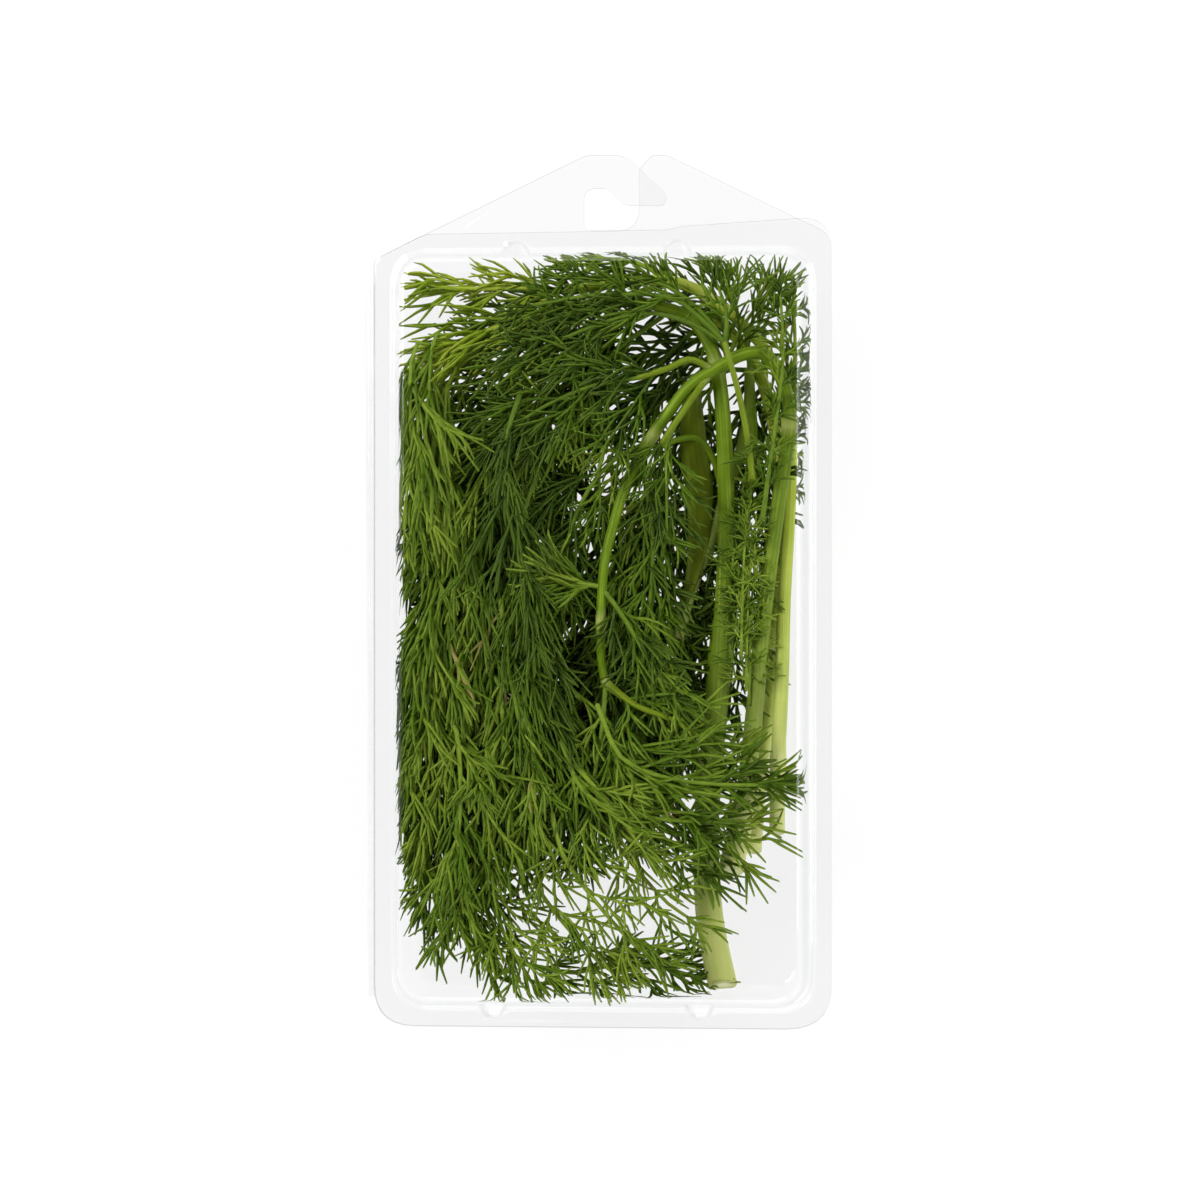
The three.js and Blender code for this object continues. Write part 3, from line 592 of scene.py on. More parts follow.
def stem_mesh(name, tubes, material):
    """Tubes along routes, in one mesh."""
    points, faces, growth, skins = [], [], [], []
    sides = STEM_SIDES
    start = 0
    for tube in tubes:
        foot, tip = tube["foot"], tube["tip"]
        joints, pale = tube.get("joints", []), tube.get("pale", 0)
        line, along, run = smooth_route(tube["route"], RING_SPACING)
        share = run / run[-1]
        radius = foot + (tip - foot) * share
        glow = np.zeros(len(run))
        for joint in joints:
            away = run - joint * run[-1]
            radius = radius * (1 + JOINT_SWELL * np.exp(-(away / JOINT_LENGTH) ** 2))
            glow += PALE_JOINT * np.exp(-(away / PALE_JOINT_LENGTH) ** 2)
        turn = np.linspace(0, 2 * math.pi, sides + 1)
        across, ring = rings(along, turn)
        ring *= (1 + RIB_DEPTH * np.cos(turn * STEM_RIBS))[:, None]
        belly = 1 + tube.get("belly", 0) * np.sin(np.pi * share) ** 0.7
        ring += across[:, None] * ((belly - 1)[:, None] * np.cos(turn)[None])[:, :, None]
        skin_rings = (line[:, None] + ring * radius[:, None, None])[:, :-1]
        # The foot is cut at a slant, so that its face looks up a little.
        skin_rings[0] += along[0] * (CUT_SLANT * foot * np.sin(turn[:-1]))[:, None]
        levels = len(line)
        closed = [line[0] + along[0] * foot * CUT_DIMPLE, line[-1] + along[-1] * tip * TIP_DOME]
        points.append(skin_rings.reshape(-1, 3))
        points.append(closed)
        fade = np.clip(pale * np.exp(-run / FADE_LENGTH) + glow, 0, MOST_PALE)
        growth.append(np.column_stack([np.zeros(levels * sides), np.repeat(fade, sides)]))
        growth.append(np.array([[pale, fade[0]], [0, fade[-1]]]))
        for level in range(levels - 1):
            for i in range(sides):
                a, b = start + level * sides + i, start + level * sides + (i + 1) % sides
                faces.append((a, a + sides, b + sides, b))
                u0, u1 = i / sides, (i + 1) / sides
                girth = 2 * math.pi * radius[level]
                v0, v1 = run[level], run[level + 1]
                skins += [(u0 * girth, v0), (u0 * girth, v1), (u1 * girth, v1), (u1 * girth, v0)]
        low, high = start + levels * sides, start + levels * sides + 1
        top = start + (levels - 1) * sides
        for i in range(sides):
            j = (i + 1) % sides
            faces.append((low, start + i, start + j))
            faces.append((high, top + j, top + i))
            skins += [(0, 0)] * 3 + [(0, run[-1])] * 3
        start += levels * sides + 2
    stem = mesh_object(name, press(np.vstack(points)), faces, material)
    paint = stem.data.color_attributes.new("growth", "FLOAT_COLOR", "POINT")
    growth = np.vstack(growth)
    colour = np.column_stack([growth, np.zeros(len(growth)), np.ones(len(growth))])
    paint.data.foreach_set("color", colour.ravel().astype(np.float32))
    skin = stem.data.uv_layers.new(name="skin")
    skin.data.foreach_set("uv", np.array(skins, np.float32).ravel())
    for face in stem.data.polygons:
        face.use_smooth = True
    return stem


# The room in the closed pack, which stems and leaves are pressed into.
FLOOR, CEILING = 0.75, 25.3
SOFT = 1.2                   # the last millimetres, in which what presses on a wall is squeezed
CLEARANCE = 0.85             # from the outside of the sheet
SEAM = 14.5
LEDGE_HALF, LEDGE_EASE, LEDGE_WIDTH = 1.4, 0.8, 0.9
LID_START, LID_RISE, LID_DRAFT = 17, 9, 1.5
TRAY_START, TRAY_DRAFT = 12.5, 2.0
BEND_REACH, BEND_INSET = 2.4, 1.7
LID_BEND, TRAY_BEND = 23.8, 2.2   # the heights at which the walls start to bend into the faces


def squeezed(value, low, high):
    """Keeps a value between limits: it is squeezed near them, and never turns back on itself."""
    over = np.clip(value - (high - SOFT), 0, None)
    under = np.clip((low + SOFT) - value, 0, None)
    return (value - over + SOFT * (1 - np.exp(-over / SOFT))
            + under - SOFT * (1 - np.exp(-under / SOFT)))


def press(points):
    """Points kept inside the walls, the floor and the window of the pack."""
    x, y, z = points.T
    z = squeezed(z, FLOOR, CEILING)
    up = np.clip((z - LID_START) / LID_RISE, 0, 1)
    down = np.clip((TRAY_START - z) / TRAY_START, 0, 1)
    ledge = np.clip((np.abs(z - SEAM) - LEDGE_HALF) / LEDGE_EASE, 0, 1)
    inset = CLEARANCE + LEDGE_WIDTH * ledge + LID_DRAFT * up + TRAY_DRAFT * down
    for into_bend in (z - LID_BEND, TRAY_BEND - z):
        share = np.clip(into_bend / BEND_REACH, 0, 0.95)
        inset += BEND_INSET * (1 - np.sqrt(1 - share ** 2))
    x = squeezed(x, MOUTH_LEFT + inset, MOUTH_RIGHT - inset)
    y = squeezed(y, MOUTH_FOOT + inset, MOUTH_HEAD - inset)
    radius = MOUTH_CORNER - inset / 2
    middle_x, middle_y = (MOUTH_LEFT + MOUTH_RIGHT) / 2, (MOUTH_FOOT + MOUTH_HEAD) / 2
    reach_x = (MOUTH_RIGHT - MOUTH_LEFT) / 2 - inset - radius
    reach_y = (MOUTH_HEAD - MOUTH_FOOT) / 2 - inset - radius
    out_x = np.abs(x - middle_x) - reach_x
    out_y = np.abs(y - middle_y) - reach_y
    away = np.hypot(np.clip(out_x, 0, None), np.clip(out_y, 0, None))
    held = np.where((out_x > 0) & (out_y > 0) & (away > radius), radius / np.maximum(away, 1e-6), 1)
    x = np.where(held < 1, middle_x + np.sign(x - middle_x) * (reach_x + out_x * held), x)
    y = np.where(held < 1, middle_y + np.sign(y - middle_y) * (reach_y + out_y * held), y)
    return np.column_stack([x, y, z])


SPRIGS = {
    "sprig_main": dict(
        foot=3.2, tip=1.2, joints=[0.3, 0.83], pale=1.0, slot="stem_green",
        stem=[
            (27, -86.8, 6), (24.5, -74.5, 6.5), (23.5, -63.5, 7), (23.5, -50, 8), (25, -32.5, 9),
            (27, -13, 11), (28, 7, 13), (28, 20, 14), (27.5, 35, 15), (26.5, 46, 15),
            (24.5, 53.5, 14.5), (20, 59.5, 13.5), (12.5, 62.5, 13), (5, 63.5, 13),
        ],
        leaves=[
            dict(reach=12, tint=0.5, tip_tint=0.7, flow=(-1, -0.5), foot=0.9, gap=1.4, route=[
                (5, 63.5, 13), (-8, 61, 13.5), (-20, 56.5, 14), (-29, 50.5, 14.5), (-34, 43, 15),
            ]),
            dict(reach=16, tint=0.35, flow=(-0.6, -0.8), foot=0.9, foot_bare=0.2, route=[
                (12.5, 62.5, 14), (5.5, 60, 16), (-3, 54, 17), (-8, 48, 17), (-14, 37, 16.5),
                (-18, 24, 16),
            ]),
            dict(reach=8, tint=0.45, thread=0.34, route=[
                (26.5, 46, 15), (31, 56, 17.5), (35, 62, 17.5), (38, 66, 17.5),
            ]),
            dict(reach=17, tint=0.3, flow=(-0.7, -0.7), route=[
                (14, 60, 12), (3, 52, 11), (-6, 41, 10.5), (-12, 27, 10), (-14, 12, 10),
            ]),
        ],
    ),
    "sprig_arch": dict(
        foot=2.1, tip=0.9, joints=[0.48, 0.72, 0.93], pale=0.8, slot="leaf_green",
        stem=[
            (29.5, -59.5, 9.5), (31.8, -46, 10.5), (34.3, -24, 12), (36.5, -2, 13.5), (39.5, 20, 15),
            (41.7, 35, 16), (40.5, 45, 18.5), (36.5, 51, 19.5), (31.5, 51, 19.5), (26, 48, 19.5),
            (20.5, 44.5, 19.5), (16, 39, 19), (11.5, 32.5, 18), (7, 24.5, 17.5), (3.5, 13.5, 18),
            (1.5, 3.5, 18.5), (1, -12.5, 18), (2, -20.5, 18),
        ],
        leaves=[
            dict(reach=15, tint=0.2, thread=0.38, foot_bare=0.22, flow=(-0.8, -0.6), route=[
                (25, 48.5, 19.5), (20.5, 50, 21), (15.6, 48, 22), (9.3, 46, 22.3), (0, 44.5, 22.3),
                (-9, 41, 22.3), (-19, 35, 22),
            ]),
            dict(reach=9, tint=0.25, thread=0.34, foot_bare=0.4, flow=(0.1, -1), route=[
                (24.5, 46.5, 19.5), (19.5, 39, 21.5), (15.5, 32, 22), (15.5, 24, 21.8),
                (15.5, 14, 21.5),
            ]),
            dict(reach=12, tint=0.3, thread=0.38, flow=(-0.3, -1), route=[
                (11.5, 32.5, 17), (3, 28, 16.5), (-3, 20, 16.5), (-7, 9, 16.5), (-9, -3, 16.5),
            ]),
            dict(reach=8, tint=0.35, thread=0.4, flow=(0.4, -0.9), route=[
                (1, 1, 18.5), (5, -4, 20), (9, -10.5, 20.5), (13, -17.5, 20.5), (17, -25.5, 20),
            ]),
            dict(reach=6, tint=0.58, thread=0.48, comb=0.1, gap=1.5, twig=1.1, spread=0.8, route=[
                (1, 1, 18.5), (-4, 2, 20), (-9.5, 4, 21),
            ]),
            dict(reach=10, tint=0.35, flow=(0.9, -0.5), route=[
                (2, -20.5, 18), (8.5, -24.5, 19.5), (17, -28, 20), (25, -33, 20), (31, -36.5, 20),
            ]),
            dict(reach=13, tint=0.4, flow=(-0.1, -1), route=[
                (2, -20.5, 18), (1, -32, 18), (-1.5, -45, 18), (-4.5, -55, 18),
            ]),
        ],
    ),
    "sprig_top": dict(
        foot=1.7, tip=1.1, joints=[0.1, 0.8], pale=0.9, slot="young_green",
        stem=[
            (39, -52.5, 11), (39.2, -37, 10.8), (40, -19.5, 10.5), (40.5, -2, 10.5),
            (41.5, 15.5, 11), (42, 31, 11.5), (41, 43, 11.5), (36.5, 52.5, 12.5),
            (30, 59.5, 14.5), (22.5, 65, 16), (15, 67.5, 16.5), (5, 67, 16.5), (-6, 65.5, 16),
        ],
        leaves=[
            dict(reach=8, tint=0.4, tip_tint=0.62, comb=0.6, spread=0.8, gap=1.1, flow=(-1, -0.25),
                 twig=1.2, route=[(-6, 65.5, 16), (-15, 66, 17), (-24.5, 65.8, 18), (-34, 66.3, 18.5)]),
            dict(reach=3.5, tint=0.3, comb=0.5, twig=0.5, flow=(-1, 0.05), foot_bare=0.3, route=[
                (15, 67.5, 16.5), (9, 71.5, 15), (0, 72.5, 14.5), (-8, 71.7, 14.5),
            ]),
            dict(reach=12, tint=0.3, tip_tint=0.65, comb=0.7, spread=0.8, gap=1.05, twig=1.2,
                 flow=(-0.8, -0.6), route=[
                     (12.5, 66, 16.5), (1, 63, 18), (-12, 60, 19), (-24, 56.5, 19), (-35, 51.5, 19),
                 ]),
        ],
    ),
    "sprig_right": dict(
        foot=2, tip=1.2, joints=[0.35, 0.7], pale=0.8, slot="stem_green",
        stem=[
            (33.5, -57, 4.2), (35, -39.5, 4.5), (37.5, -19.5, 5), (39, -2, 5.5), (39.5, 16, 6),
            (39, 31, 6.5), (37, 42, 7), (33.5, 51, 7.5), (28, 57.5, 8), (20, 62, 8.5),
        ],
        leaves=[
            dict(reach=5, tint=0.45, thread=0.36, flow=(0.1, -1), comb=0.5, twig=0.7, route=[
                (39.5, 16, 6), (42, 26.5, 9), (43, 42, 12), (43, 55, 14), (42, 63, 14.5),
            ]),
            # The next three leaves lie low in the tray, and their low tints give them the darkest
            # greens: painted shade deep in the bunch.
            dict(reach=12, tint=0.2, thread=0.5, steps=2, flow=(-0.3, -1), route=[
                (36, 45, 6), (30, 38, 6), (25, 26, 6), (22, 12, 6), (20, 0, 6),
            ]),
            dict(reach=9, tint=0.25, flow=(0, -1), comb=0.1, route=[
                (33.5, 44, 8), (31, 34, 8), (30, 22, 8), (30.5, 8, 8), (29.5, -8, 8), (28.5, -25, 7.5),
            ]),
            dict(reach=9, tint=0.2, thread=0.5, steps=2, flow=(0.2, -1), route=[
                (36, 58, 7), (36.5, 48, 6.5), (36, 36, 6), (35, 22, 6),
            ]),
            dict(reach=14, tint=0.3, flow=(-0.9, -0.4), route=[
                (20, 62, 8.5), (9, 62, 8.5), (-4.5, 57.5, 8.5), (-17.5, 51, 8.5), (-28.5, 42, 8.5),
            ]),
        ],
    ),
    "sprig_short": dict(
        foot=1.6, tip=1.1, joints=[0.5], pale=0.6, slot="stem_green",
        stem=[
            (17, -10.5, 7.5), (20, 0.5, 8.3), (25, 12.5, 9), (29.5, 25.5, 9.3), (32.5, 37.5, 9.5),
            (33, 48.5, 10),
        ],
        leaves=[
            dict(reach=10, tint=0.4, route=[
                (33, 48.5, 10), (32, 57.5, 10.5), (26.5, 64, 11), (18, 67, 11),
            ]),
            # The last three leaves lie low in the tray, and their low tints give them the darkest
            # greens: painted shade deep in the bunch.
            dict(reach=14, tint=0.2, thread=0.5, steps=2, flow=(-0.5, -0.9), route=[
                (33, 48.5, 8), (26, 48, 7), (18, 40, 6.5), (12, 28, 6.5), (9, 14, 6.5),
            ]),
            dict(reach=13, tint=0.2, thread=0.5, steps=2, flow=(-0.8, -0.5), route=[
                (30, 62, 8), (23, 59, 7), (15, 52, 6.5), (8, 44, 6.5), (2, 36, 6.5),
            ]),
            dict(reach=11, tint=0.25, thread=0.5, steps=2, flow=(-0.9, -0.3), route=[
                (32, 54, 6.5), (24, 54, 6), (15, 49, 5.5), (6, 44, 5.5), (-2, 38, 5.5),
            ]),
        ],
    ),
    "cover_leaf": dict(
        foot=0.75, tip=0.6, pale=0, slot="leaf_green",
        stem=[(34, 24, 21.5), (33, 32.5, 22.3), (31, 42.5, 22.8), (28, 53.5, 23)],
        leaves=[
            dict(reach=9, tint=0.25, foot_bare=0.3, flow=(-1, -0.2), thread=0.38, route=[
                (28, 53.5, 23), (23, 58.5, 23.3), (17, 63, 23.3), (7.5, 64, 23.3), (-3, 63.5, 23.2),
                (-14, 61.5, 23),
            ]),
            dict(reach=11, tint=0.2, thread=0.38, foot_bare=0.3, flow=(-0.9, -0.5), route=[
                (28, 53.5, 23), (20, 58, 22.5), (11, 60, 22.5), (2, 58, 22.7), (-8, 54, 22.8),
                (-18, 49.5, 22.8),
            ]),
            dict(reach=6, tint=0.3, thread=0.34, foot_bare=0.25, route=[
                (28, 53.5, 23), (28.5, 59, 23.3), (27.5, 63, 23), (26, 67, 22.5),
            ]),
            dict(reach=6, tint=0.25, thread=0.36, foot_bare=0.3, flow=(-1, -0.1), route=[
                (28, 53.5, 22.5), (23, 60, 22.7), (15, 66, 22.5), (5, 68, 22.3), (-6, 67.5, 22),
            ]),
        ],
    ),
}

# Leaf stalks and side stems that grow from the sprigs. The first is the broad, thin sheath of
# an old leaf, rolled flat against the main stem.
SIDE_STEMS = {
    "sprig_main": [
        dict(skin="sheath", foot=0.75, tip=0.4, belly=4.2, route=[
            (21, 47, 13.5), (20.6, 40, 13), (21, 31, 12), (22.2, 20, 11), (21.5, 8, 10),
            (18.5, -4, 9.5),
        ]),
        dict(foot=0.9, tip=0.6, route=[
            (28, 18, 12), (25.5, 28, 11.5), (22, 33.2, 12.5), (17.5, 33, 15), (14.5, 31.5, 17),
        ]),
        dict(foot=1.5, tip=1.1, joints=[0.5], route=[
            (24.5, -26, 7.5), (26, -8, 8), (30.5, 10, 8.5), (33.5, 30, 9), (33, 46, 9.5),
        ]),
    ],
    "sprig_arch": [
        dict(skin="stalk", foot=0.75, tip=0.6, joints=[0], route=[
            (25.5, 47.8, 19.5), (20.5, 50, 21), (15.6, 48, 22), (9.3, 46, 22.3),
        ]),
        dict(skin="stalk", foot=0.8, tip=0.65, joints=[0], route=[
            (24.5, 46.8, 19.5), (19.5, 39.5, 21.3), (14.5, 32, 22),
        ]),
        dict(skin="stalk", foot=0.75, tip=0.5, joints=[0], route=[
            (1.5, -19, 18.5), (8.5, -24.5, 19.5), (17, -28, 20), (25, -33, 20),
        ]),
        dict(skin="husk", foot=2.8, tip=2.25, pale=1, route=[
            (28.8, -61, 9.5), (30.8, -52, 10.2), (33.2, -40, 11),
        ]),
    ],
}
stem_green = stem_skin("dill_stem_ribbed", "#4a6106", "#637f0c", "#90a732", "#d0d480")
stem_pale = stem_skin("dill_stem_young", "#80961a", "#a3b432", "#c0cb5c", "#d8d99c")
sheath = stem_skin("dill_sheath_thin", "#3e4a06", "#58660c", "#84903a", "#a9a46a")
stalk_green = stem_skin("dill_stalk_slim", "#56680c", "#6b7e16", "#8d9a40", "#b4b876")
side_skins = {"sheath": sheath, "stalk": stalk_green, "husk": stem_pale}
sprig_skins = {"sprig_top": stem_pale, "sprig_right": stem_pale, "cover_leaf": stalk_green}
for name, sprig in SPRIGS.items():
    own = sprig_skins.get(name, stem_green)
    tubes = [sprig | {"route": sprig["stem"]}]
    tubes += [tube for tube in SIDE_STEMS.get(name, []) if "skin" not in tube]
    pieces = [stem_mesh(name + "_stem", tubes, own)]
    for tube in SIDE_STEMS.get(name, []):
        if "skin" in tube:
            piece_name = f"{name}_{tube['skin']}_{len(pieces)}"
            pieces.append(stem_mesh(piece_name, [tube], side_skins[tube["skin"]]))
    for piece in pieces:
        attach(piece, "tray")
        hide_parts(name)

# ---------------------------------------------------------------- the leaves
# Each leaf has a slim stalk with side branches in pairs, and these divide again and again into
# soft threads under a millimetre wide. They grew flat and springy, and are pressed in layers.

PAIR_SPACING = 6.5           # between pairs of side branches
TWIG_SPACING = 4.3
THREAD_RADIUS = 0.44
THREAD_FLATNESS = 0.7        # height over width of a branch, twig or thread
STALK_SIDES = 7
STALK_FLATNESS = 0.8
STALK_PALER, STALK_TIPNESS = 0.1, 0.8  # stalks are paler, and coloured much as tips are
UNEVEN = 0.16                # how far shoots leave the leaf's flat, up or down
CURL = 0.18
MOST_TINT = 0.72             # the palest a living thread gets
DRIED_SHARE = 0.002          # of the threads, which have dried to straw
DRIED_TINT = 1.3
TAPER = 3.5                  # the higher, the nearer to its tip a shoot starts to thin out
THREAD_POINT = 1.6           # length of a shoot's point, in radii of its end
BRANCH_ANGLES = (0.4, 0.85)  # radians between a shoot and what it grows from, least and most
TWIG_ANGLES = (0.25, 0.6)
FORK_ANGLES = (0.25, 0.5)
BRANCH_LENGTHS = (0.75, 1.15)  # shares of the length that a shoot would have by its place
TWIG_LENGTHS = (0.7, 1.3)
FORK_LENGTHS = (0.8, 1.1)
TWIG_SHARE, TWIG_BASE = 0.33, 5  # a twig has this share of its branch's length, and this more
TWIG_SHORTEST, TWIG_LONGEST = 4.5, 13
FORK_SPACING, MOST_FORKS = 3.2, 3


class Strands:
    """Many curved shoots at once: root, reach, bend, tint, and radius at root and tip."""

    def __init__(self, root, reach, bend, tint, thick=None, thin=None):
        self.root, self.reach, self.bend, self.tint = root, reach, bend, tint
        self.thick, self.thin = thick, thin

    def at(self, share):
        share = share[:, None]
        return self.root + self.reach * share + self.bend * share ** 2

    def along(self, share):
        return unit(self.reach + 2 * self.bend * share[:, None])


def sprout(parent, index, share, side, angle, length, thick, thin, flow, comb, vary=0.06,
           dried=DRIED_SHARE):
    """Shoots off parent strands, at share up them, on a side, bent over with the flow."""
    take = Strands(parent.root[index], parent.reach[index], parent.bend[index], parent.tint[index])
    along = take.along(share)
    across = unit(np.cross(along, UP))
    count = len(index)
    lift = rng.normal(0, UNEVEN, count)[:, None]
    aim = unit(along * np.cos(angle)[:, None] + across * (side * np.sin(angle))[:, None] + UP * lift)
    reach = aim * length[:, None] * (1 - 0.35 * comb)
    curl = np.array(flow) * (comb * length * rng.uniform(0.3, 1.2, count))[:, None]
    curl += rng.normal(0, CURL, (count, 3)) * length[:, None] * (1, 1, 0.6)
    tint = np.clip(take.tint + rng.normal(0, vary, count), 0, MOST_TINT)
    tint = np.where((rng.random(count) < dried) | (take.tint > 1), DRIED_TINT, tint)
    return Strands(take.at(share), reach, curl, tint, np.full(count, thick), np.full(count, thin))


def strand_mesh(groups, stalks):
    """Points, faces and growth colours of stalks, and of groups of (strands, steps, sides).

    Growth holds the tint in red, and in blue how near to its tip a point of a shoot is.
    """
    points, quads, threes, growth = [], [], [], []
    start = 0
    for line, along, radius, tint in stalks:
        turn = np.arange(STALK_SIDES) * 2 * math.pi / STALK_SIDES
        ring = rings(along, turn, STALK_FLATNESS)[1]
        body = line[:, None] + ring * radius[:, None, None]
        points += [body.reshape(-1, 3), line[:1] - along[:1] * radius[0], line[-1:] + along[-1:]]
        levels, foot = len(line), start + len(line) * STALK_SIDES
        for i in range(STALK_SIDES):
            j = (i + 1) % STALK_SIDES
            level = start + np.arange(levels - 1) * STALK_SIDES
            quads.append(np.column_stack([level + i, level + i + STALK_SIDES,
                                          level + j + STALK_SIDES, level + j]))
            top = start + (levels - 1) * STALK_SIDES
            threes.append(np.array([[foot, start + i, start + j], [foot + 1, top + j, top + i]]))
        paint = np.zeros((levels * STALK_SIDES + 2, 4))
        paint[:, 0] = np.append(np.repeat(tint, STALK_SIDES), [tint[0], tint[-1]]) + STALK_PALER
        paint[:, 2] = STALK_TIPNESS
        paint[:, 3] = 1
        growth.append(paint)
        start += levels * STALK_SIDES + 2
    for strands, steps, sides in groups:
        count = len(strands.root)
        share = np.linspace(0, 1, steps + 1)
        centre = (strands.root[:, None] + strands.reach[:, None] * share[None, :, None]
                  + strands.bend[:, None] * (share ** 2)[None, :, None])
        along = unit(strands.reach[:, None] + 2 * strands.bend[:, None] * share[None, :, None])
        taper = 1 - share ** TAPER
        radius = strands.thick[:, None] * taper + strands.thin[:, None] * (1 - taper)
        turn = np.arange(sides) * 2 * math.pi / sides + math.pi / sides
        ring = rings(along, turn, THREAD_FLATNESS)[1]
        body = centre[:, :, None] + ring * radius[:, :, None, None]
        tip = centre[:, -1] + along[:, -1] * (strands.thin * THREAD_POINT)[:, None]
        per = (steps + 1) * sides + 1
        block = np.concatenate([body.reshape(count, -1, 3), tip[:, None]], axis=1)
        points.append(block.reshape(-1, 3))
        paint = np.zeros((count, per, 4))
        paint[..., 0] = strands.tint[:, None]
        paint[..., 2] = np.append(np.repeat(share, sides), 1.0)[None, :]
        paint[..., 3] = 1
        growth.append(paint.reshape(-1, 4))
        base = start + np.arange(count)[:, None] * per
        side_quads = []
        for level in range(steps):
            for i in range(sides):
                a, b = level * sides + i, level * sides + (i + 1) % sides
                side_quads.append((a, a + sides, b + sides, b))
        quads.append((base[:, :, None] + np.array(side_quads)[None]).reshape(-1, 4))
        last = steps * sides
        caps = [(last + (i + 1) % sides, last + i, per - 1) for i in range(sides)]
        caps += [(0, i, i + 1) for i in range(1, sides - 1)]
        threes.append((base[:, :, None] + np.array(caps)[None]).reshape(-1, 3))
        start += count * per
    return np.vstack(points), np.vstack(quads), np.vstack(threes), np.vstack(growth)


def leaf_strands(route, reach, tint, tip_tint=None, spread=1.0, comb=0.3, thread=THREAD_RADIUS,
                 foot=0.6, foot_bare=0.1, flow=None, steps=3, twig=1.0, gap=1.0):
    """One leaf grown along a route: its stalk, branches, twigs and threads.

    reach is its longest branch's length, and flow the way in which comb bends its shoots. thread
    and foot are radii, twig and gap scale the twigs and what lies between them.
    """
    line, along, run = smooth_route(route, 4)
    flow = unit(line[-1] - line[0] if flow is None else np.array([*flow, 0.0]))
    count = len(line) - 1
    tints = np.linspace(tint, tint if tip_tint is None else tip_tint, count + 1)
    stalk = Strands(line[:-1], np.diff(line, axis=0), np.zeros((count, 3)), tints[:-1])
    # Side branches leave the stalk in pairs, and one ends it.
    pairs = max(3, int(run[-1] * (1 - foot_bare) / (PAIR_SPACING * gap)))
    place = foot_bare + (1 - foot_bare) * (np.arange(pairs) + 0.3) / pairs
    place = np.repeat(place, 2) + rng.normal(0, 0.008, pairs * 2)
    place = np.append(np.clip(place, 0, 0.985), 0.99)
    side = np.append(np.tile([-1.0, 1.0], pairs), 0.0)
    segment = np.minimum((place * count).astype(int), count - 1)
    swell = 0.35 + 0.65 * np.sin(np.pi * np.clip(0.2 + 0.8 * place, 0, 1))
    branch_length = reach * swell * rng.uniform(*BRANCH_LENGTHS, len(place))
    angle = rng.uniform(*BRANCH_ANGLES, len(place)) * spread
    branches = sprout(stalk, segment, place * count - segment, side, angle, branch_length,
                      thread * 1.05, thread * 0.7, flow, comb, 0.13, 0)
    # Twigs leave each branch in turn on either side.
    per_branch = np.maximum(2, (branch_length / (TWIG_SPACING * gap)).astype(int)) * 2
    index = np.repeat(np.arange(len(place)), per_branch)
    order = np.concatenate([np.arange(n) for n in per_branch])
    share = 0.12 + 0.88 * (order + 0.5) / per_branch[index]
    twig_side = np.where(order % 2 == 0, 1.0, -1.0)
    twig_length = TWIG_SHARE * branch_length[index] + TWIG_BASE
    twig_length = twig_length * rng.uniform(*TWIG_LENGTHS, len(index))
    twig_length = np.clip(twig_length, TWIG_SHORTEST, TWIG_LONGEST) * twig
    angle = rng.uniform(*TWIG_ANGLES, len(index)) * spread
    twigs = sprout(branches, index, share, twig_side, angle, twig_length,
                   thread, thread * 0.55, flow, comb * 0.7, 0.08)
    # Threads fork from the twigs, and end about level with them.
    forks = np.clip((twig_length / (FORK_SPACING * twig)).astype(int), 1, MOST_FORKS)
    index = np.repeat(np.arange(len(twig_length)), forks)
    order = np.concatenate([np.arange(n) for n in forks])
    share = 0.14 + 0.2 * order + rng.uniform(0, 0.12, len(order))
    fork_side = np.where((order + index) % 2 == 0, 1.0, -1.0)
    fork_length = twig_length[index] * (1.05 - share) * rng.uniform(*FORK_LENGTHS, len(order))
    angle = rng.uniform(*FORK_ANGLES, len(order)) * spread
    threads = sprout(twigs, index, share, fork_side, angle, fork_length,
                     thread * 0.95, thread * 0.5, flow, comb * 0.5)
    return ([(branches, steps + 1, 4), (twigs, steps, 3), (threads, steps, 3)],
            (line, along, np.linspace(foot, thread * 0.9, count + 1), tints))


# Soft green threads under a thin waxy bloom: darker and bluish on old leaves, yellow-green on young
# ones, paler towards the tips, with a soft sheen and a little light let through. The darkest greens are
# also painted shade on the leaves that lie deep in the bunch, and broad darker and paler patches paint
# shade and light across it.
LEAF_ROUGHNESS = 0.46
LEAF_SHINE = 0.14            # specular level under the matt bloom
LET_THROUGH = 0.22           # share of the light that passes through a thread
BLOOM_SIZE = 1.6             # millimetres between the cloudy patches of the bloom
# Darker and paler patches of this size are painted shade and light across the bunch.
SHADE_PATCH_SIZE = 18              # millimetres between darker and paler parts of the bunch
DRIED_STRAW = "#a8985a"


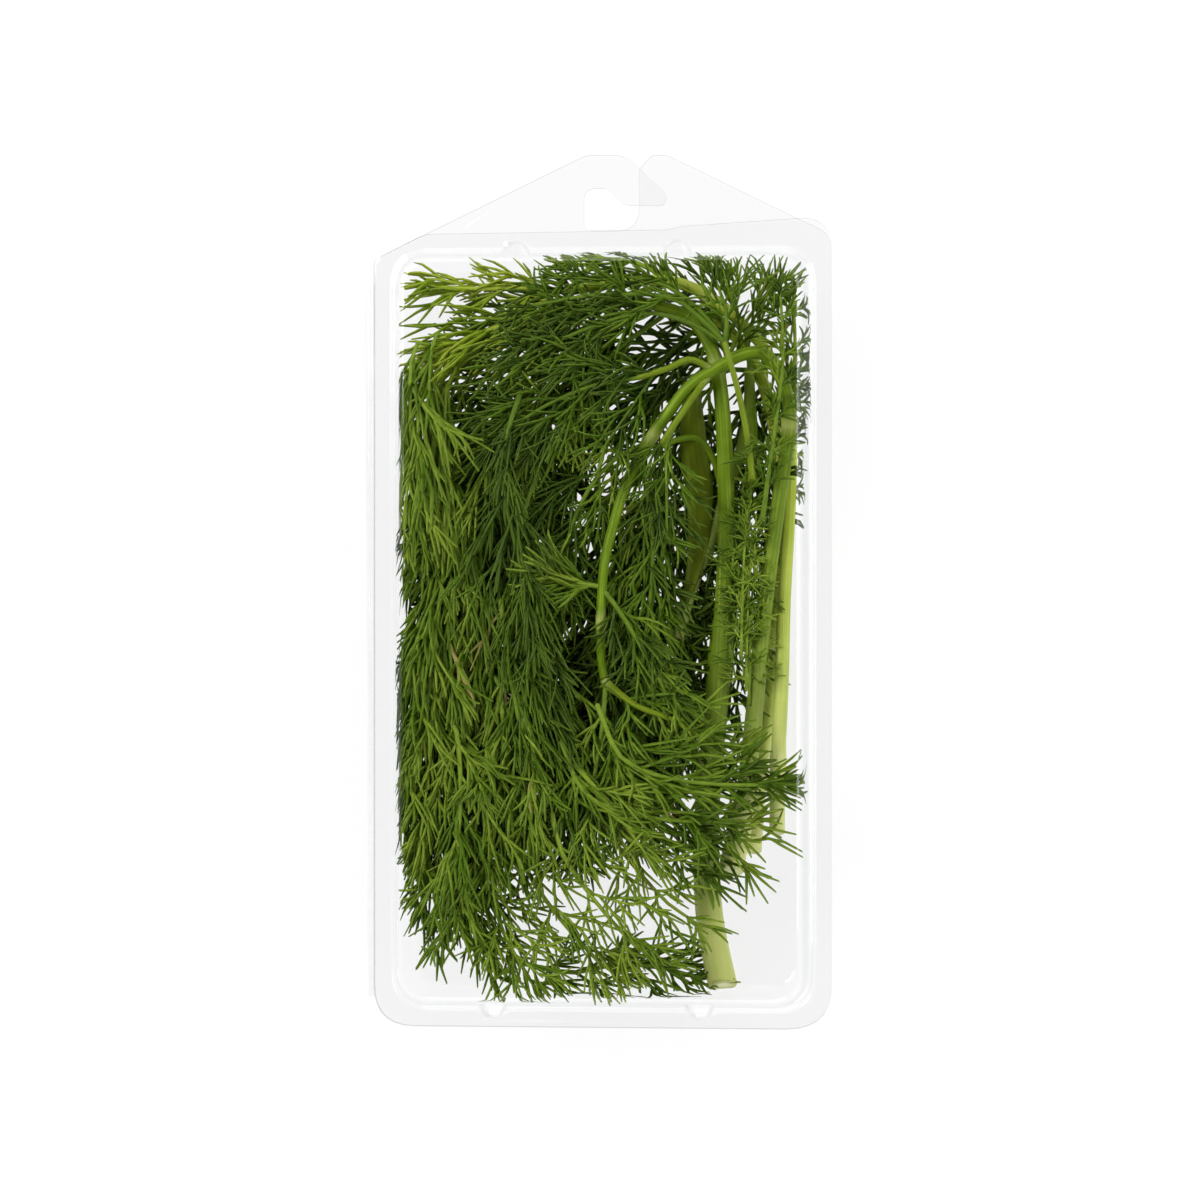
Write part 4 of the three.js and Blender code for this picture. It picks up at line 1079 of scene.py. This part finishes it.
def leaf_skin(name, deep, body, bright, tip):
    """Green that follows the growth colours, with cloudy patches of two sizes."""
    material = new_material(name)
    tree = material.node_tree
    grown = add(tree, "Attribute", attribute_name="growth").outputs["Color"]
    parts = add(tree, "SeparateColor", {0: grown})
    where = add(tree, "TexCoord").outputs["Object"]
    tint = parts.outputs["Red"]
    # The small clouds are the bloom; the large patches are painted shade and light.
    for size, change in ((BLOOM_SIZE, 0.06), (SHADE_PATCH_SIZE, 0.11)):
        clouds = add(tree, "TexNoise", {"Vector": where, "Scale": 1 / (size * MM), "Detail": 1.0})
        shade = add(tree, "MapRange", {
            "Value": clouds.outputs["Fac"], "From Min": 0.34, "From Max": 0.66,
            "To Min": -change, "To Max": change,
        })
        tint = add(tree, "Math", {0: tint, 1: shade.outputs["Result"]}, operation="ADD").outputs[0]
    # The lowest tints take the deep green, which on the leaves low in the bunch is painted shade.
    green = add(tree, "ValToRGB", {"Fac": tint}, stops=[
        (0.08, deep), (0.42, body), (0.8, bright), (0.91, bright), (0.97, DRIED_STRAW),
    ])
    towards_tip = add(tree, "Math", {0: parts.outputs["Blue"], 1: 0.35}, operation="MULTIPLY")
    colour = between(tree, towards_tip.outputs[0], green.outputs["Color"], linear(tip))
    skin = add(tree, "BsdfPrincipled", {
        "Base Color": colour, "Roughness": LEAF_ROUGHNESS, "Specular IOR Level": LEAF_SHINE,
    })
    through = add(tree, "BsdfTranslucent", {"Color": colour})
    return finished(material, add(tree, "MixShader", {
        0: LET_THROUGH, 1: skin.outputs[0], 2: through.outputs[0],
    }))


leaf_green = leaf_skin("dill_leaf_waxy", "#284204", "#4c6c06", "#8fa634", "#86a03c")
young_green = leaf_skin("dill_leaf_young", "#486a06", "#76940c", "#aebc3c", "#b4c250")


def leaf_piece(name, leaves, material, node):
    """A mesh of leaves, each a dict of what leaf_strands takes."""
    grown = [leaf_strands(**leaf) for leaf in leaves]
    points, quads, threes, growth = strand_mesh(
        [group for groups, stalk in grown for group in groups], [stalk for groups, stalk in grown])
    points = press(points)
    mesh = bpy.data.meshes.new(name)
    mesh.vertices.add(len(points))
    mesh.vertices.foreach_set("co", (points * MM).astype(np.float32).ravel())
    corners = np.concatenate([quads.ravel(), threes.ravel()]).astype(np.int32)
    mesh.loops.add(len(corners))
    mesh.loops.foreach_set("vertex_index", corners)
    mesh.polygons.add(len(quads) + len(threes))
    starts = np.concatenate([
        np.arange(len(quads)) * 4, len(quads) * 4 + np.arange(len(threes)) * 3,
    ]).astype(np.int32)
    mesh.polygons.foreach_set("loop_start", starts)
    mesh.polygons.foreach_set("use_smooth", np.ones(len(starts), bool))
    mesh.update(calc_edges=True)
    paint = mesh.color_attributes.new("growth", "FLOAT_COLOR", "POINT")
    paint.data.foreach_set("color", growth.astype(np.float32).ravel())
    mesh.materials.append(material)
    piece = bpy.data.objects.new(name, mesh)
    bpy.context.scene.collection.objects.link(piece)
    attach(piece, "tray")
    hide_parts(node)


for name, sprig in SPRIGS.items():
    young = sprig["slot"] == "young_green"
    leaf_piece(name + "_leaves", sprig["leaves"], young_green if young else leaf_green, name)

# Loose leaves between the stems, roughly from the window down. beside lists how far from the
# first leaf, across, along and up, the further leaves of the same spray lie.
LOOSE_LEAVES = {
    "leaf_centre": dict(
        reach=13, tint=0.18, thread=0.36, spread=0.65, comb=0.6, twig=1.1, beside=[(3, -18, -3)],
        route=[
            (-16, 43, 22.8), (-19, 33, 23.2), (-19, 19, 23.3), (-16, 5, 23.2), (-14, -12, 22.8),
        ],
    ),
    "leaf_left_top": dict(
        reach=12, tint=0.52, thread=0.46, foot=0.45, spread=0.5, comb=0.6, twig=1.15,
        beside=[(4, 2, -1.5), (7, -7, -4)],
        route=[
            (-35.5, 53.5, 20), (-37, 54.5, 21.5), (-39.5, 52, 22.5), (-40, 41.5, 23),
            (-39.5, 28.5, 23.2), (-38, 12, 23),
        ],
    ),
    "leaf_left_mid": dict(
        reach=14, tint=0.42, thread=0.45, spread=0.6, comb=0.55, twig=1.1,
        beside=[(8, 6, -3), (-4, -14, -2)],
        route=[
            (-32.5, 29.5, 20.5), (-32, 15.5, 20.8), (-33.5, 0.5, 21), (-35.5, -15, 21),
            (-37, -28, 20.8),
        ],
    ),
    "leaf_left_low": dict(
        reach=13, tint=0.4, tip_tint=0.58, thread=0.43, spread=0.75, comb=0.45, twig=1.1,
        beside=[(-4, 18, -3), (9, 10, -3), (-5, 6, -5)],
        route=[
            (-32, -27, 21.5), (-30, -30, 22.6), (-29, -42, 23), (-29.5, -52, 23), (-31, -62, 22.8),
            (-32.5, -72, 22.4),
        ],
    ),
    "leaf_mid_low": dict(
        reach=14, tint=0.42, spread=0.7, comb=0.5, beside=[(8, -2, -3), (-9, 10, -4)],
        route=[
            (-20.5, -2, 21), (-19, -15, 21), (-16.5, -28, 21), (-14, -41, 21), (-14, -50, 20.8),
        ],
    ),
    "leaf_bottom_left": dict(
        reach=10, tint=0.63, thread=0.38, flow=(0.4, -0.9), gap=1.15, twig=1.15,
        beside=[(-5, 6, -4), (-9, 4, -2)],
        route=[
            (-27, -49, 18.5), (-24, -62, 19), (-20, -74, 19.5), (-14.5, -84, 19.5),
        ],
    ),
    "leaf_bottom_mid": dict(
        reach=11, tint=0.72, thread=0.4, flow=(0.6, -0.8), gap=1.5, twig=1.1,
        beside=[(-8, -4, -3), (7, 9, -2)],
        route=[
            (-9.5, -48, 20), (-7, -57, 20.3), (0, -67, 20.5), (8, -76, 20.3), (12, -79, 20),
        ],
    ),
    "leaf_bottom_floor": dict(
        reach=9, tint=0.42, flow=(1, -0.1),
        route=[
            (-17.5, -82, 6), (-6.5, -84, 6.5), (4.5, -82, 7), (15.5, -83, 7), (19, -84, 7),
        ],
    ),
    "leaf_fan_right": dict(
        reach=9, tint=0.49, spread=0.8, flow=(1, -0.15), gap=1.35, twig=1.2, beside=[(-8, -8, -2)],
        route=[
            (0.5, -24.5, 22), (5.5, -35.5, 22.6), (15, -40, 23), (27, -41.5, 23), (38, -41.5, 22.8),
            (41, -41.5, 22),
        ],
    ),
    "leaf_fan_low": dict(
        reach=9, tint=0.49, flow=(0.8, -0.6), gap=1.35, twig=1.2, beside=[(-8, -2, 0)],
        route=[
            (3.5, -35.5, 20.3), (12, -44.5, 20), (22.5, -51, 19.5), (31, -57.5, 19),
        ],
    ),
    "leaf_right_top": dict(
        reach=7, tint=0.38, thread=0.35, comb=0.3, flow=(0, -1), twig=0.75, beside=[(2.5, 2, -7)],
        route=[
            (36, 15.5, 20.5), (37.5, 26, 21.5), (39, 37, 22), (40.5, 50, 22.3), (40, 63, 22.3),
        ],
    ),
    "leaf_right_mid": dict(
        reach=4.6, tint=0.5, thread=0.28, foot=0.36, spread=1.4, comb=0, gap=0.75, twig=0.6,
        beside=[(-0.5, 12, -1), (0.6, -3, -2), (-1, 7, 1), (0, 16, -4)],
        route=[
            (32.4, -21.5, 16), (32.6, -10.5, 16.5), (33, 0.5, 17), (33.8, 10, 17),
        ],
    ),
    "leaf_inner_a": dict(
        reach=9, tint=0.3, beside=[(-7, 0, -2.5)],
        route=[
            (9.5, 29.5, 15), (11.5, 17.5, 14.5), (12, 4.5, 14), (10.5, -8.5, 13.5), (9, -21.5, 13),
        ],
    ),
    "leaf_inner_b": dict(
        reach=11, tint=0.3, beside=[(-7, 4, -2), (8, 6, -5)],
        route=[
            (6, -2, 11), (8.5, -19.5, 10.5), (8, -37, 10), (6, -48, 10),
        ],
    ),
    # The back leaves lie low under the rest, and their low tints give them the darkest greens: painted
    # shade deep in the bunch.
    "leaf_back_1": dict(
        reach=17, tint=0.15, thread=0.55, steps=2, beside=[(9, -4, 1.5), (-8, -8, 1)],
        route=[
            (-9, 57.5, 5.5), (-17.5, 42, 5.5), (-24.5, 24.5, 5.5), (-28.5, 7, 5.5), (-32, -10.5, 5.5),
        ],
    ),
    "leaf_back_2": dict(
        reach=17, tint=0.2, thread=0.5, steps=2, beside=[(9, -6, -1.5)],
        route=[
            (-28, 42, 11.5), (-32.5, 24.5, 11.5), (-34.5, 7, 11.5), (-36, -10.5, 11.5), (-37, -28, 11),
        ],
    ),
    "leaf_back_4": dict(
        reach=17, tint=0.15, thread=0.55, steps=2, beside=[(-9, 4, 1), (7, 10, 2), (-4, -8, 3)],
        route=[
            (8.5, 20, 5), (4.5, 2.5, 5), (0, -15, 5), (-2.5, -30, 5), (-5, -42, 5),
        ],
    ),
    "leaf_back_5": dict(
        reach=13, tint=0.2, thread=0.5, steps=2, beside=[(10, 6, 1), (-5, 10, -3), (-9, 2, 4)],
        route=[
            (-26, -15, 8.3), (-28.5, -30, 8), (-28.5, -42, 8), (-27.5, -51, 8), (-26, -59, 8),
        ],
    ),
    "leaf_back_8": dict(
        reach=12, tint=0.2, thread=0.5, steps=2, beside=[(-8, 4, 4), (5, 18, 1)],
        route=[
            (19.5, -10.5, 3.5), (17.5, -26.5, 3), (14, -38, 3), (10, -47, 3),
        ],
    ),
}
for name, leaf in LOOSE_LEAVES.items():
    offsets = [(0, 0, 0)] + leaf.pop("beside", [])
    leaves = [leaf | {"route": np.array(leaf["route"]) + offset} for offset in offsets]
    leaf_piece(name + "_frond", leaves, leaf_green, name)
